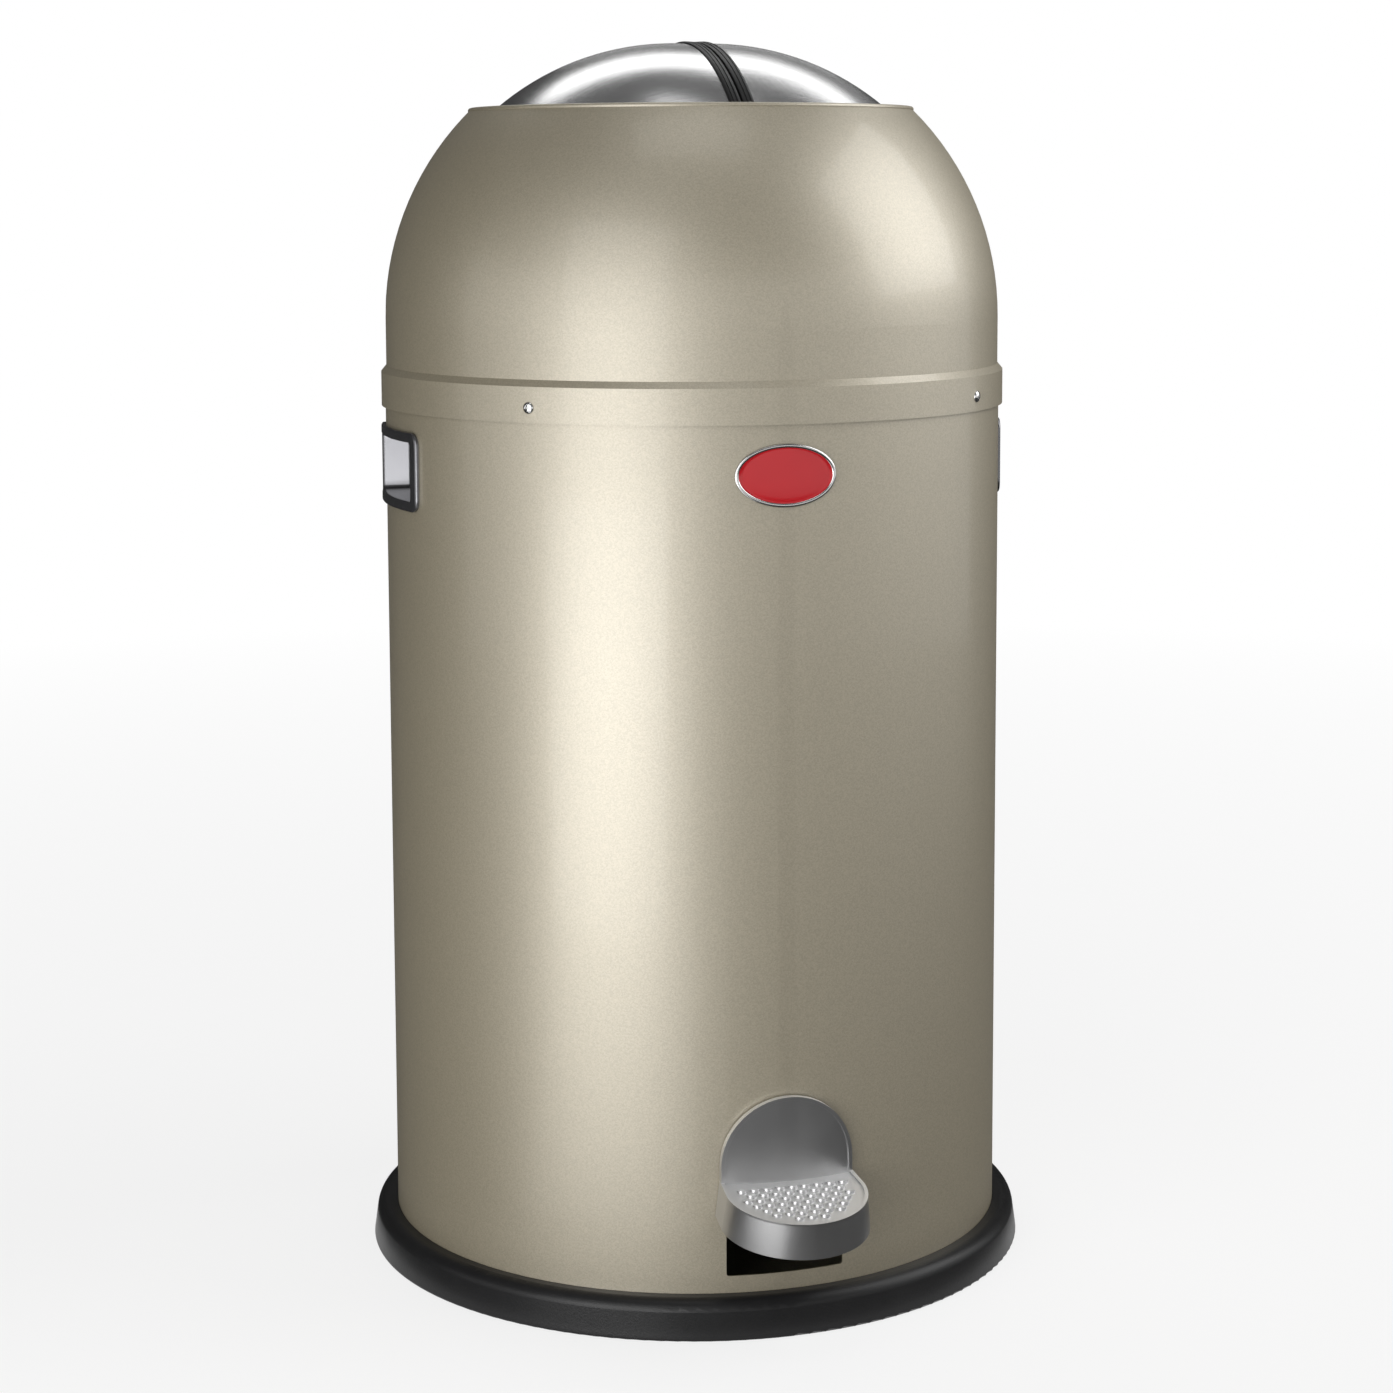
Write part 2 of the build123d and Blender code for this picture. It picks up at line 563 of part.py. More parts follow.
def liner():
    """Galvanised bucket with a rounded bottom and a rolled rim."""
    r = LINER_RADIUS
    c = LINER_CORNER
    inner = r - LINER_SHEET
    floor = LINER_LOW + LINER_SHEET
    seat = LINER_TOP - LINER_BEAD
    outline = make_face([
        Line((0, LINER_LOW), (r - c, LINER_LOW)),
        CenterArc((r - c, LINER_LOW + c), c, 270, 90),
        Line((r, LINER_LOW + c), (r, seat)),
        Line((r, seat), (inner, seat)),
        Line((inner, seat), (inner, LINER_LOW + c)),
        CenterArc((r - c, LINER_LOW + c), c - LINER_SHEET, 0, -90),
        Line((r - c, floor), (0, floor)),
        Line((0, floor), (0, LINER_LOW))])
    bead = Pos(inner + LINER_BEAD, seat) * Circle(LINER_BEAD)
    bucket = revolve(Plane.XZ * outline, Axis.Z) + revolve(Plane.XZ * bead, Axis.Z)
    hole = along_x(Cylinder(BAIL_WIRE + 0.1, 3 * r), 0, 0, BAIL_AXIS)
    return bucket - hole


def liner_ears():
    """Two oval plates on the liner's wall that carry the bail."""
    ears = []
    for side in (-1, 1):
        outline = SlotOverall(26, 2 * EAR_HALF_HEIGHT) - Circle(BAIL_WIRE + 0.1)
        for y in (-8.5, 8.5):
            outline -= Pos(y, 0) * Circle(1.3)
        plate = extrude(outline, 0.8, both=True)
        place = Pos(side * (LINER_RADIUS + SEAT_GAP + 0.8), 0, BAIL_AXIS)
        ears.append(place * Rot(0, 0, 90) * Rot(90, 0, 0) * plate)
    return Compound(ears)


def ear_rivets():
    rivets = []
    for side in (-1, 1):
        for y in (-8.5, 8.5):
            start = LINER_RADIUS - LINER_SHEET - 1.4
            length = LINER_SHEET + SEAT_GAP + 1.6 + 1.4
            shank = Pos(0, 0, length / 2) * Cylinder(1.3, length)
            head = Pos(0, 0, length) * round_head(2.4, 1.0)
            tail = Pos(0, 0, 0.4) * Cylinder(2.2, 0.8)
            rivet = Rot(0, 90, 0) * (shank + head + tail)
            place = Pos(side * start, y, BAIL_AXIS)
            rivets.append(place * (rivet if side > 0 else Rot(0, 0, 180) * rivet))
    return Compound(rivets)


def liner_with_rivet_holes():
    bucket = liner()
    for y in (-8.5, 8.5):
        bucket -= along_x(Cylinder(1.3, 3 * LINER_RADIUS), 0, y, BAIL_AXIS)
    return bucket


BAIL_BEND = 6.0


def bail_path():
    """Half of a flat bow in the XY plane: out of the ear, round the bend, to the middle."""
    reach = BAIL_RADIUS + BAIL_BEND
    start = sqrt(reach ** 2 - BAIL_BEND ** 2)
    lean = degrees(asin(BAIL_BEND / reach))
    end = LINER_RADIUS + 4.5
    return [
        Line((-end, 0), (-start, 0)),
        CenterArc((-start, -BAIL_BEND), BAIL_BEND, 90, lean - 90),
        CenterArc((0, 0), BAIL_RADIUS, 180 + lean, 180 - 2 * lean),
        CenterArc((start, -BAIL_BEND), BAIL_BEND, 180 - lean, lean - 90),
        Line((start, 0), (end, 0))]


def liner_bail():
    """Wire bow handle, lying forward in the liner's mouth, with peened ends."""
    wire = None
    for part in bail_path():
        section = Plane(origin=part @ 0, z_dir=part % 0) * Circle(BAIL_WIRE)
        piece = sweep(section, path=part)
        wire = piece if wire is None else wire + piece
    end = LINER_RADIUS + 4.5
    for side in (-1, 1):
        wire += along_x(Cylinder(3.4, 1.4), side * (end + 0.7), 0, 0)
    return Pos(0, 0, BAIL_AXIS) * wire


def bail_grip():
    """Plastic sleeve on the middle of the bail."""
    arc = CenterArc((0, 0), BAIL_RADIUS, 250, 40)
    section = Plane(origin=arc @ 0, z_dir=arc % 0) * (Circle(GRIP_RADIUS) - Circle(BAIL_WIRE))
    return Pos(0, 0, BAIL_AXIS) * sweep(section, path=arc)


def tread_outline(shrink=0.0):
    """Top view of the tread: straight sides, then a round nose. y points outwards."""
    wide = TREAD_HALF_WIDTH + TREAD_BULGE - shrink
    back = TREAD_HALF_WIDTH - shrink
    side = TREAD_STRAIGHT
    return make_face([
        Line((-back, -8), (back, -8)),
        Line((back, -8), (wide, side)),
        CenterArc((0, side), wide, 0, 180),
        Line((-wide, side), (-back, -8))])


def tread_bumps():
    """Rows of half moons: tilted discs that leave only their front edge above the tread."""
    bumps = []
    reach = TREAD_HALF_WIDTH + TREAD_BULGE - TREAD_RIM_WIDTH - 5.0
    for row in range(7):
        y = 6.5 + row * BUMP_ROW
        free = TREAD_HALF_WIDTH - 6.0
        if y > TREAD_STRAIGHT:
            free = sqrt(max(0.0, reach ** 2 - (y - TREAD_STRAIGHT) ** 2))
        count = int(2 * free / BUMP_PITCH) + 1
        if (count + row) % 2 == 0:
            count -= 1
        for i in range(count):
            x = (i - (count - 1) / 2) * BUMP_PITCH
            bumps.append(Pos(x, y, 0) * Rot(BUMP_TILT, 0, 0) * Cylinder(BUMP_RADIUS, 1.6))
    return bumps


def pedal_casting():
    """Cast tread with an apron under it and a curved shield standing on its back edge."""
    flare = degrees(atan(APRON_FLARE / TREAD_APRON))
    tread = extrude(tread_outline(), -TREAD_APRON, taper=-flare)
    hollow = extrude(Pos(0, 0, -TREAD_WALL) * tread_outline(TREAD_WALL), -TREAD_APRON, taper=-flare)
    back = Pos(0, -2, -TREAD_WALL - TREAD_APRON / 2) * Box(2 * TREAD_HALF_WIDTH, 14, TREAD_APRON)
    tread -= hollow + back
    rim = extrude(tread_outline() - tread_outline(TREAD_RIM_WIDTH), TREAD_RIM)
    tread += rim
    for bump in tread_bumps():
        tread += bump - Pos(0, 0, -3) * Box(200, 200, 5.4)
    place = Pos(0, -SHIELD_OUTER, TREAD_HEIGHT) * Rot(0, 0, 180) * Rot(-TREAD_SLOPE, 0, 0)
    casting = place * tread
    for reach in PEDAL_SCREWS:
        top = TREAD_HEIGHT - (reach - SHIELD_OUTER) * tan(radians(TREAD_SLOPE)) - 1.5
        low = LEVER_FRONT + LEVER_DEPTH / 2
        boss = upright(Cylinder(5, top - low), 0, -reach, low, top - low)
        casting += boss
        casting -= upright(Cylinder(2.0, 8), 0, -reach, low - 1, 8)
    keep = Pos(0, 0, TREAD_HEIGHT) * Cylinder(SHIELD_INNER, 200)
    return casting - keep + shield()


def shield():
    """Arched plate that follows the body and hides the opening behind the pedal."""
    arch = SHIELD_TOP - TREAD_HALF_WIDTH
    low = TREAD_HEIGHT - TREAD_WALL - 0.6

    def outline(border):
        half = TREAD_HALF_WIDTH - border
        return make_face([
            Line((-half, low), (half, low)),
            Line((half, low), (half, arch)),
            CenterArc((0, arch), half, 0, 180),
            Line((-half, arch), (-half, low))])

    def slab(inner, outer, border):
        ring = tube(outer, inner, low - 20, SHIELD_TOP + 20)
        return ring & Rot(90, 0, 0) * extrude(outline(border), 2 * BODY_RADIUS)

    plate = slab(SHIELD_INNER, SHIELD_OUTER, 0)
    rim = slab(SHIELD_OUTER - 0.5, SHIELD_OUTER + SHIELD_RIM, 0)
    rim -= slab(SHIELD_OUTER - 1.5, SHIELD_OUTER + SHIELD_RIM + 1, SHIELD_RIM_WIDTH)
    above = Pos(0, 0, TREAD_HEIGHT + 100) * Cylinder(2 * BODY_RADIUS, 200)
    return plate + (rim & above)


def pedal_screws():
    """Two screws from under the lever's web into the casting."""
    screws = []
    web_low = LEVER_FRONT + LEVER_DEPTH / 2 - LEVER_SHEET
    for reach in PEDAL_SCREWS:
        shank = Pos(0, 0, 4) * Cylinder(2.0, 8)
        head = Rot(180, 0, 0) * round_head(3.6, 2.2)
        screws.append(Pos(0, -reach, web_low) * (shank + head))
    return Compound(screws)


def dome_shell():
    """Spun dome with a skirt, a step above it and a rolled mouth."""
    skirt = SKIRT_RADIUS
    step = SKIRT_TOP + BEAD_HEIGHT
    inner_arc = DOME_ARC - SHEET
    reach = MOUTH_RADIUS + MOUTH_BEAD - LID_OFFSET
    lean = degrees(acos(reach / (DOME_ARC - SHEET / 2)))
    centre = (LID_OFFSET, LID_HEIGHT)

    def on_arc(radius):
        return (LID_OFFSET + radius * cos(radians(lean)), LID_HEIGHT + radius * sin(radians(lean)))

    outline = make_face([
        Line((skirt, SKIRT_LOW), (skirt, SKIRT_TOP)),
        Line((skirt, SKIRT_TOP), (DOME_RADIUS, step)),
        Line((DOME_RADIUS, step), (DOME_RADIUS, LID_HEIGHT)),
        CenterArc(centre, DOME_ARC, 0, lean),
        Line(on_arc(DOME_ARC), on_arc(inner_arc)),
        CenterArc(centre, inner_arc, lean, -lean),
        Line((DOME_RADIUS - SHEET, LID_HEIGHT), (DOME_RADIUS - SHEET, step - 0.5)),
        Line((DOME_RADIUS - SHEET, step - 0.5), (skirt - SHEET, SKIRT_TOP - 0.5)),
        Line((skirt - SHEET, SKIRT_TOP - 0.5), (skirt - SHEET, SKIRT_LOW)),
        Line((skirt - SHEET, SKIRT_LOW), (skirt, SKIRT_LOW))])
    bead_x, bead_z = on_arc(DOME_ARC - SHEET / 2)
    bead = Pos(bead_x, bead_z) * Circle(MOUTH_BEAD)
    shell = revolve(Plane.XZ * outline, Axis.Z) + revolve(Plane.XZ * bead, Axis.Z)
    for angle in SCREW_ANGLES:
        shell -= radial_hole(angle, SCREW_RADIUS, SKIRT_RADIUS, SKIRT_SCREW_Z)
    for x, drop in DOME_LEAF_SCREWS:
        angle, height = leaf_screw_place(x, drop)
        shell -= radial_hole(angle, SCREW_RADIUS, SKIRT_RADIUS, height)
    return shell


def mounting_ring():
    """Angle-section hoop inside the skirt; its flange sits on the body's neck."""
    ring = turned([(HOOP_OUTER, HOOP_LOW), (HOOP_OUTER, FLANGE_TOP), (FLANGE_INNER, FLANGE_TOP),
                   (FLANGE_INNER, FLANGE_LOW), (HOOP_INNER, FLANGE_LOW), (HOOP_INNER, HOOP_LOW)])
    for angle in SCREW_ANGLES:
        ring -= radial_hole(angle, SCREW_RADIUS, SKIRT_RADIUS, SKIRT_SCREW_Z)
    for x, drop in DOME_LEAF_SCREWS:
        angle, height = leaf_screw_place(x, drop)
        ring -= radial_hole(angle, SCREW_RADIUS, SKIRT_RADIUS, height)
    ring -= upright(Cylinder(STEM_BUSH_RADIUS, 10), 0, ROD_Y, FLANGE_LOW - 4, 10)
    for x, y in RIVET_PLACES:
        ring -= upright(Cylinder(RIVET_RADIUS, 10), x, y, FLANGE_LOW - 4, 10)
    return ring


STEM_BUSH_RADIUS = ROD_RADIUS + RUN_GAP + 1.4
BRACKET_HALF_WIDTH = LID_OFFSET + 13.0
FOOT_LOW = FLANGE_TOP + SEAT_GAP
RIVET_X = 18.0
RIVET_Y = sqrt((FLANGE_INNER + 3.2) ** 2 - RIVET_X ** 2)
RIVET_PLACES = tuple((x * RIVET_X, y * RIVET_Y) for x in (-1, 1) for y in (-1, 1))


def pivot_bracket(rear):
    """Angle bracket that carries both flaps' pivots; the rear one also guides the stem."""
    height = LID_HEIGHT + 12 - FOOT_LOW
    half = BRACKET_HALF_WIDTH
    outline = make_face(Polyline((-half, 0), (half, 0), (half, height - 14), (half - 9, height),
                                 (9 - half, height), (-half, height - 14), close=True))
    if rear:
        tall = STEM_GUIDE + PLATE / 2 - FOOT_LOW
        outline += Pos(0, tall / 2) * Rectangle(20, tall)
    back = ROD_Y + ROD_RADIUS + 1.2
    face = BRACKET_Y - PLATE / 2
    plate = Pos(0, BRACKET_Y, FOOT_LOW) * Rot(90, 0, 0) * extrude(outline, PLATE / 2, both=True)
    foot = Pos(0, (face + back) / 2, FOOT_LOW + PLATE / 2) * Box(2 * half, back - face, PLATE)
    bracket = plate + foot
    if rear:
        tab = Pos(0, (face + back) / 2, STEM_GUIDE) * Box(20, back - face, PLATE)
        bracket += tab
        bracket -= upright(Cylinder(ROD_RADIUS + RUN_GAP, 20), 0, ROD_Y, STEM_GUIDE - 10, 20)
        bracket -= upright(Cylinder(STEM_BUSH_RADIUS, 10), 0, ROD_Y, FOOT_LOW - 4, 10)
    for x in (-LID_OFFSET, LID_OFFSET):
        bracket -= along_y(Cylinder(PIVOT_RADIUS + BUSH_WALL, 30), x, BRACKET_Y, LID_HEIGHT)
    for x in (-RIVET_X, RIVET_X):
        bracket -= upright(Cylinder(RIVET_RADIUS, 20), x, RIVET_Y, FOOT_LOW - 5, 20)
    return bracket if rear else Rot(0, 0, 180) * bracket


def bracket_rivets():
    """Rivets through the brackets' feet and the flange."""
    rivets = []
    for x, y in RIVET_PLACES:
        length = FOOT_LOW + PLATE - FLANGE_LOW
        shank = Pos(0, 0, length / 2) * Cylinder(RIVET_RADIUS, length)
        head = Pos(0, 0, length) * round_head(3.4, 1.5)
        tail = Rot(180, 0, 0) * round_head(3.0, 0.9)
        rivets.append(Pos(x, y, FLANGE_LOW) * (shank + head + tail))
    return Compound(rivets)


def pivot_bushes():
    """Four flanged nylon bushes in the brackets."""
    bushes = []
    sleeve = Cylinder(PIVOT_RADIUS + BUSH_WALL, PLATE)
    flange = Cylinder(PIVOT_RADIUS + BUSH_WALL + 2, BUSH_FLANGE)
    bush = sleeve + Pos(0, 0, -PLATE / 2 - BUSH_FLANGE / 2) * flange
    bush -= Cylinder(PIVOT_RADIUS + RUN_GAP, 10)
    for x in (-LID_OFFSET, LID_OFFSET):
        bushes.append(Pos(x, BRACKET_Y, LID_HEIGHT) * Rot(-90, 0, 0) * bush)
        bushes.append(Pos(x, -BRACKET_Y, LID_HEIGHT) * Rot(90, 0, 0) * bush)
    return Compound(bushes)


def stem_bush():
    """Nylon bush for the drive stem, through the flange and the bracket's foot."""
    top = FOOT_LOW + PLATE
    collar = tube(STEM_BUSH_RADIUS + 1.5, ROD_RADIUS + RUN_GAP, top, top + 2)
    sleeve = tube(STEM_BUSH_RADIUS, ROD_RADIUS + RUN_GAP, FLANGE_LOW, top)
    return Pos(0, ROD_Y, 0) * (sleeve + collar)


def skirt_screws():
    depth = SKIRT_RADIUS - HOOP_INNER + 2.5
    return Compound([radial_screw(angle, SKIRT_RADIUS, depth, SKIRT_SCREW_Z) for angle in SCREW_ANGLES])


def body_hinge_leaf():
    """Leaf on the body's rear wall with the two outer knuckles."""
    inner = BODY_RADIUS + SEAT_GAP
    low = HINGE_Z - 28
    high = HINGE_Z - 5
    sector = Pos(0, BODY_RADIUS, (low + high) / 2) * Box(52, 30, high - low)
    leaf = tube(inner + LEAF, inner, low, high) & sector
    arm = make_face(Polyline((inner - 1.5, HINGE_Z - 9), (inner + LEAF - 0.6, HINGE_Z - 9),
                             (HINGE_Y + HINGE_RADIUS - 0.4, HINGE_Z - 1.8),
                             (HINGE_Y - 2, HINGE_Z + 2), close=True))
    for x in (-18.5, 18.5):
        knuckle = along_x(Cylinder(HINGE_RADIUS, 13), x, HINGE_Y, HINGE_Z)
        web = Pos(x, 0, 0) * extrude(Plane.YZ * arm, 6.5, both=True)
        web -= Pos(0, 0, HINGE_Z) * Cylinder(inner, 60)
        leaf += knuckle + web
    leaf -= along_x(Cylinder(HINGE_PIN, 80), 0, HINGE_Y, HINGE_Z)
    for x, drop in BODY_LEAF_SCREWS:
        angle, height = leaf_screw_place(x, drop)
        leaf -= radial_hole(angle, SCREW_RADIUS, BODY_RADIUS, height)
    return leaf


def body_hinge_screws():
    seat = BODY_RADIUS + SEAT_GAP + LEAF
    screws = []
    for x, drop in BODY_LEAF_SCREWS:
        angle, height = leaf_screw_place(x, drop)
        screws.append(radial_screw(angle, seat, 7, height))
    return Compound(screws)


def dome_hinge_leaf():
    """Leaf on the dome's skirt with the middle knuckle."""
    inner = SKIRT_RADIUS + SEAT_GAP
    low = HINGE_Z + 6.5
    high = SKIRT_TOP - 0.5
    sector = Pos(0, BODY_RADIUS, (low + high) / 2) * Box(34, 30, high - low)
    leaf = tube(inner + LEAF, inner, low, high) & sector
    knuckle = along_x(Cylinder(HINGE_RADIUS, 23), 0, HINGE_Y, HINGE_Z)
    arm = make_face(Polyline((inner + 0.4, HINGE_Z + 8.5), (inner + 0.4, HINGE_Z + 4.5),
                             (HINGE_Y - 3, HINGE_Z + 1), (HINGE_Y + 4.4, HINGE_Z + 1),
                             (inner + LEAF, HINGE_Z + 8.5), close=True))
    web = extrude(Plane.YZ * arm, 11.5, both=True)
    web -= Pos(0, 0, HINGE_Z) * Cylinder(inner, 60)
    leaf += knuckle + web
    leaf -= along_x(Cylinder(HINGE_PIN + RUN_GAP, 80), 0, HINGE_Y, HINGE_Z)
    for x, drop in DOME_LEAF_SCREWS:
        angle, height = leaf_screw_place(x, drop)
        leaf -= radial_hole(angle, SCREW_RADIUS, BODY_RADIUS, height)
    return leaf


def dome_hinge_screws():
    seat = SKIRT_RADIUS + SEAT_GAP + LEAF
    screws = []
    for x, drop in DOME_LEAF_SCREWS:
        angle, height = leaf_screw_place(x, drop)
        screws.append(radial_screw(angle, seat, 7, height))
    return Compound(screws)


def hinge_pin():
    """Pin with a domed head at each end."""
    pin = Cylinder(HINGE_PIN, 50.6)
    pin += Pos(0, 0, 25.3) * round_head(4, 1.6)
    pin += Rot(180, 0, 0) * Pos(0, 0, 25.3) * round_head(4, 1.6)
    return along_x(pin, 0, HINGE_Y, HINGE_Z)


def drive_stem():
    """Round plunger over the push rod, with a cross hole for the drive pin."""
    low = ROD_TOP + SEAT_GAP
    stem = upright(Cylinder(ROD_RADIUS, STEM_TOP - low), 0, ROD_Y, low, STEM_TOP - low)
    stem = chamfer(stem.edges().group_by(Axis.Z)[-1], 0.8)
    return stem - along_y(Cylinder(PIN_RADIUS, 30), 0, ROD_Y, PIN_Z)


def drive_pin():
    """Pin pressed through the stem; it reaches forward through both cranks' slots."""
    front = LEFT_CRANK - PLATE / 2 - 0.9
    length = ROD_Y + ROD_RADIUS - front
    pin = chamfer(Cylinder(PIN_RADIUS, length).edges().filter_by(GeomType.CIRCLE), 0.4)
    return along_y(pin, 0, front + length / 2, PIN_Z)


def flap_block(side, low_angle, inner, outer):
    """Spherical shell between the seam and the flap's lower edge, about its own axis."""
    shell = Sphere(outer) - Sphere(inner)
    shell &= Rot(90, 0, 0) * Cylinder(2 * LID_RADIUS, 2 * LID_END)
    reach = 4 * LID_RADIUS
    below = Pos(0, 0, -reach / 2) * Box(reach, reach, reach)
    shell -= Rot(0, 90 - low_angle, 0) * below
    return shell if side < 0 else Rot(0, 0, 180) * shell


def flap_shell(side):
    """Brushed steel flap, cut straight along the seam inside its edge seal."""
    axis = side * LID_OFFSET
    shell = Pos(axis, 0, LID_HEIGHT) * flap_block(side, LID_LAP, LID_RADIUS - SHEET, LID_RADIUS)
    edge = LID_SEAM + SEAL_NOSE + 0.2
    across = 2 * LID_RADIUS
    beyond = Box(across, across, 1.5 * across)
    return shell - Pos(-side * (LID_RADIUS - edge), 0, LID_HEIGHT) * beyond


def flap_seal(side):
    """Rubber channel clipped over the flap's straight edge."""
    axis = side * LID_OFFSET
    outer = LID_RADIUS + SEAT_GAP / 2 + SEAL_LIP
    inner = LID_RADIUS - SHEET - SEAT_GAP / 2 - SEAL_LIP
    centre = Pos(axis, 0, LID_HEIGHT)
    body = centre * (Sphere(outer) - Sphere(inner))
    groove = centre * (Sphere(LID_RADIUS + SEAT_GAP / 2) - Sphere(LID_RADIUS - SHEET - SEAT_GAP / 2))
    mid = side * (LID_SEAM + SEAL_WIDTH / 2)
    length = 2 * (PLATE_Y - PLATE / 2 - SEAT_GAP)
    strip = Pos(mid, 0, LID_HEIGHT + LID_RADIUS) * Box(SEAL_WIDTH, length, 2 * LID_RADIUS)
    cut = side * (LID_SEAM + SEAL_NOSE + SEAL_WIDTH / 2)
    slot = Pos(cut, 0, LID_HEIGHT + LID_RADIUS) * Box(SEAL_WIDTH, 2 * LID_RADIUS, 2 * LID_RADIUS)
    above = Pos(0, 0, LID_HEIGHT + LID_RADIUS + 8) * Box(100, 2 * LID_RADIUS, 2 * LID_RADIUS)
    return (body & strip & above) - (groove & slot)


def end_plate(side, rear):
    """Sector plate welded into the flap's truncated end, with a round hub."""
    axis = side * LID_OFFSET
    turn = -side * LID_LAP
    half_plane = Pos(0, PLATE_RADIUS) * Rectangle(4 * PLATE_RADIUS, 2 * PLATE_RADIUS)
    sector = Circle(PLATE_RADIUS) & half_plane & Rot(0, 0, turn + side * 90) * half_plane
    seam = LID_SEAM + SEAL_NOSE + 0.2 - LID_OFFSET
    sector -= Pos(-side * (2 * PLATE_RADIUS - seam), 0) * Rectangle(4 * PLATE_RADIUS, 4 * PLATE_RADIUS)
    outline = sector + Circle(HUB_RADIUS) - Circle(PIVOT_RADIUS)
    y = PLATE_Y if rear else -PLATE_Y
    return Pos(axis, y, LID_HEIGHT) * Rot(90, 0, 0) * extrude(outline, PLATE / 2, both=True)


def pivot_shaft(side, rear):
    """Shaft riveted in the end plate; the rear one carries the crank."""
    axis = side * LID_OFFSET
    start = PLATE_Y - PLATE / 2 - 1.0
    if not rear:
        end = BRACKET_Y + PLATE / 2 + 1.2
    else:
        end = (LEFT_CRANK if side < 0 else RIGHT_CRANK) + PLATE / 2 + 0.2
    shaft = Cylinder(PIVOT_RADIUS, end - start)
    head = Pos(0, 0, (end - start) / 2 - 0.5) * Cylinder(PIVOT_RADIUS + 1.5, 1.0)
    y = (start + end) / 2
    body = shaft + head
    if rear:
        return Pos(axis, y, LID_HEIGHT) * Rot(90, 0, 0) * body
    return Pos(axis, -y, LID_HEIGHT) * Rot(-90, 0, 0) * body


def crank(side):
    """Slotted arm that reaches over the middle to the drive pin."""
    half_slot = PIN_RADIUS + SLOT_PLAY
    near = LID_OFFSET - 0.5
    far = LID_OFFSET / cos(radians(LID_SWING / 2)) + 0.5
    middle = (near + far) / 2
    tip = far + half_slot + PLATE
    arm = Pos(tip / 2 - 2.5, 0) * SlotOverall(tip + 5, 2 * half_slot + 2 * PLATE)
    hub = Circle(PIVOT_RADIUS + 3)
    slot = Pos(middle, 0) * SlotOverall(far - near + 2 * half_slot, 2 * half_slot)
    outline = arm + hub - slot - Circle(PIVOT_RADIUS)
    plane = LEFT_CRANK if side < 0 else RIGHT_CRANK
    lean = -LID_SWING / 2
    outline = Rot(0, 0, lean) * outline
    solid = extrude(outline, PLATE / 2, both=True)
    if side > 0:
        solid = mirror(solid, Plane.YZ)
    return Pos(side * LID_OFFSET, plane, LID_HEIGHT) * Rot(90, 0, 0) * solid


def save(name, shape):
    solids = shape.solids()
    shape = solids[0] if len(solids) == 1 else Compound(list(solids))
    shape.label = name
    export_step(shape, f"parts/{name}.step")


def main():
    os.makedirs("parts", exist_ok=True)
    pieces = {
        "base_ring": base_ring, "body_floor": body_floor, "body_shell": body_shell,
        "grip_nuts": grip_nuts, "badge_plate": badge_plate,
        "lever_bracket": lever_bracket, "bracket_screws": bracket_screws,
        "lever_axle": lever_axle, "axle_clips": axle_clips, "lever_buffer": lever_buffer,
        "liner_stand": liner_stand, "return_spring": return_spring,
        "body_hinge_leaf": body_hinge_leaf, "body_hinge_screws": body_hinge_screws,
        "hinge_pin": hinge_pin, "liner": liner_with_rivet_holes, "liner_ears": liner_ears,
        "ear_rivets": ear_rivets, "pedal_casting": pedal_casting, "pedal_lever": pedal_lever,
        "pedal_screws": pedal_screws, "lever_pad": lever_pad, "axle_bush": axle_bush,
        "push_rod": push_rod, "rod_foot": rod_foot, "rod_cap": rod_cap,
        "spring_collar": spring_collar, "dome_shell": dome_shell,
        "mounting_ring": mounting_ring, "skirt_screws": skirt_screws,
        "bracket_rivets": bracket_rivets, "pivot_bushes": pivot_bushes,
        "stem_bush": stem_bush, "dome_hinge_leaf": dome_hinge_leaf,
        "dome_hinge_screws": dome_hinge_screws, "drive_stem": drive_stem,
        "drive_pin": drive_pin, "liner_bail": liner_bail, "bail_grip": bail_grip,
    }
    for name, make in pieces.items():
        save(name, make())
    save("lower_rod_guide", rod_guide(LOWER_GUIDE, True))
    save("upper_rod_guide", rod_guide(UPPER_GUIDE, True))
    save("front_pivot_bracket", pivot_bracket(False))
    save("rear_pivot_bracket", pivot_bracket(True))
    for word, side in (("left", -1), ("right", 1)):
        save(f"{word}_grip", grip(side))
        save(f"{word}_flap_shell", flap_shell(side))
        save(f"{word}_flap_seal", flap_seal(side))
        save(f"{word}_front_plate", end_plate(side, False))
        save(f"{word}_rear_plate", end_plate(side, True))
        save(f"{word}_front_pin", pivot_shaft(side, False))
        save(f"{word}_rear_shaft", pivot_shaft(side, True))
        save(f"{word}_crank", crank(side))


main()
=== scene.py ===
import bpy
from math import asin, cos, pi, radians, sin, sqrt
from mathutils import Matrix, Vector


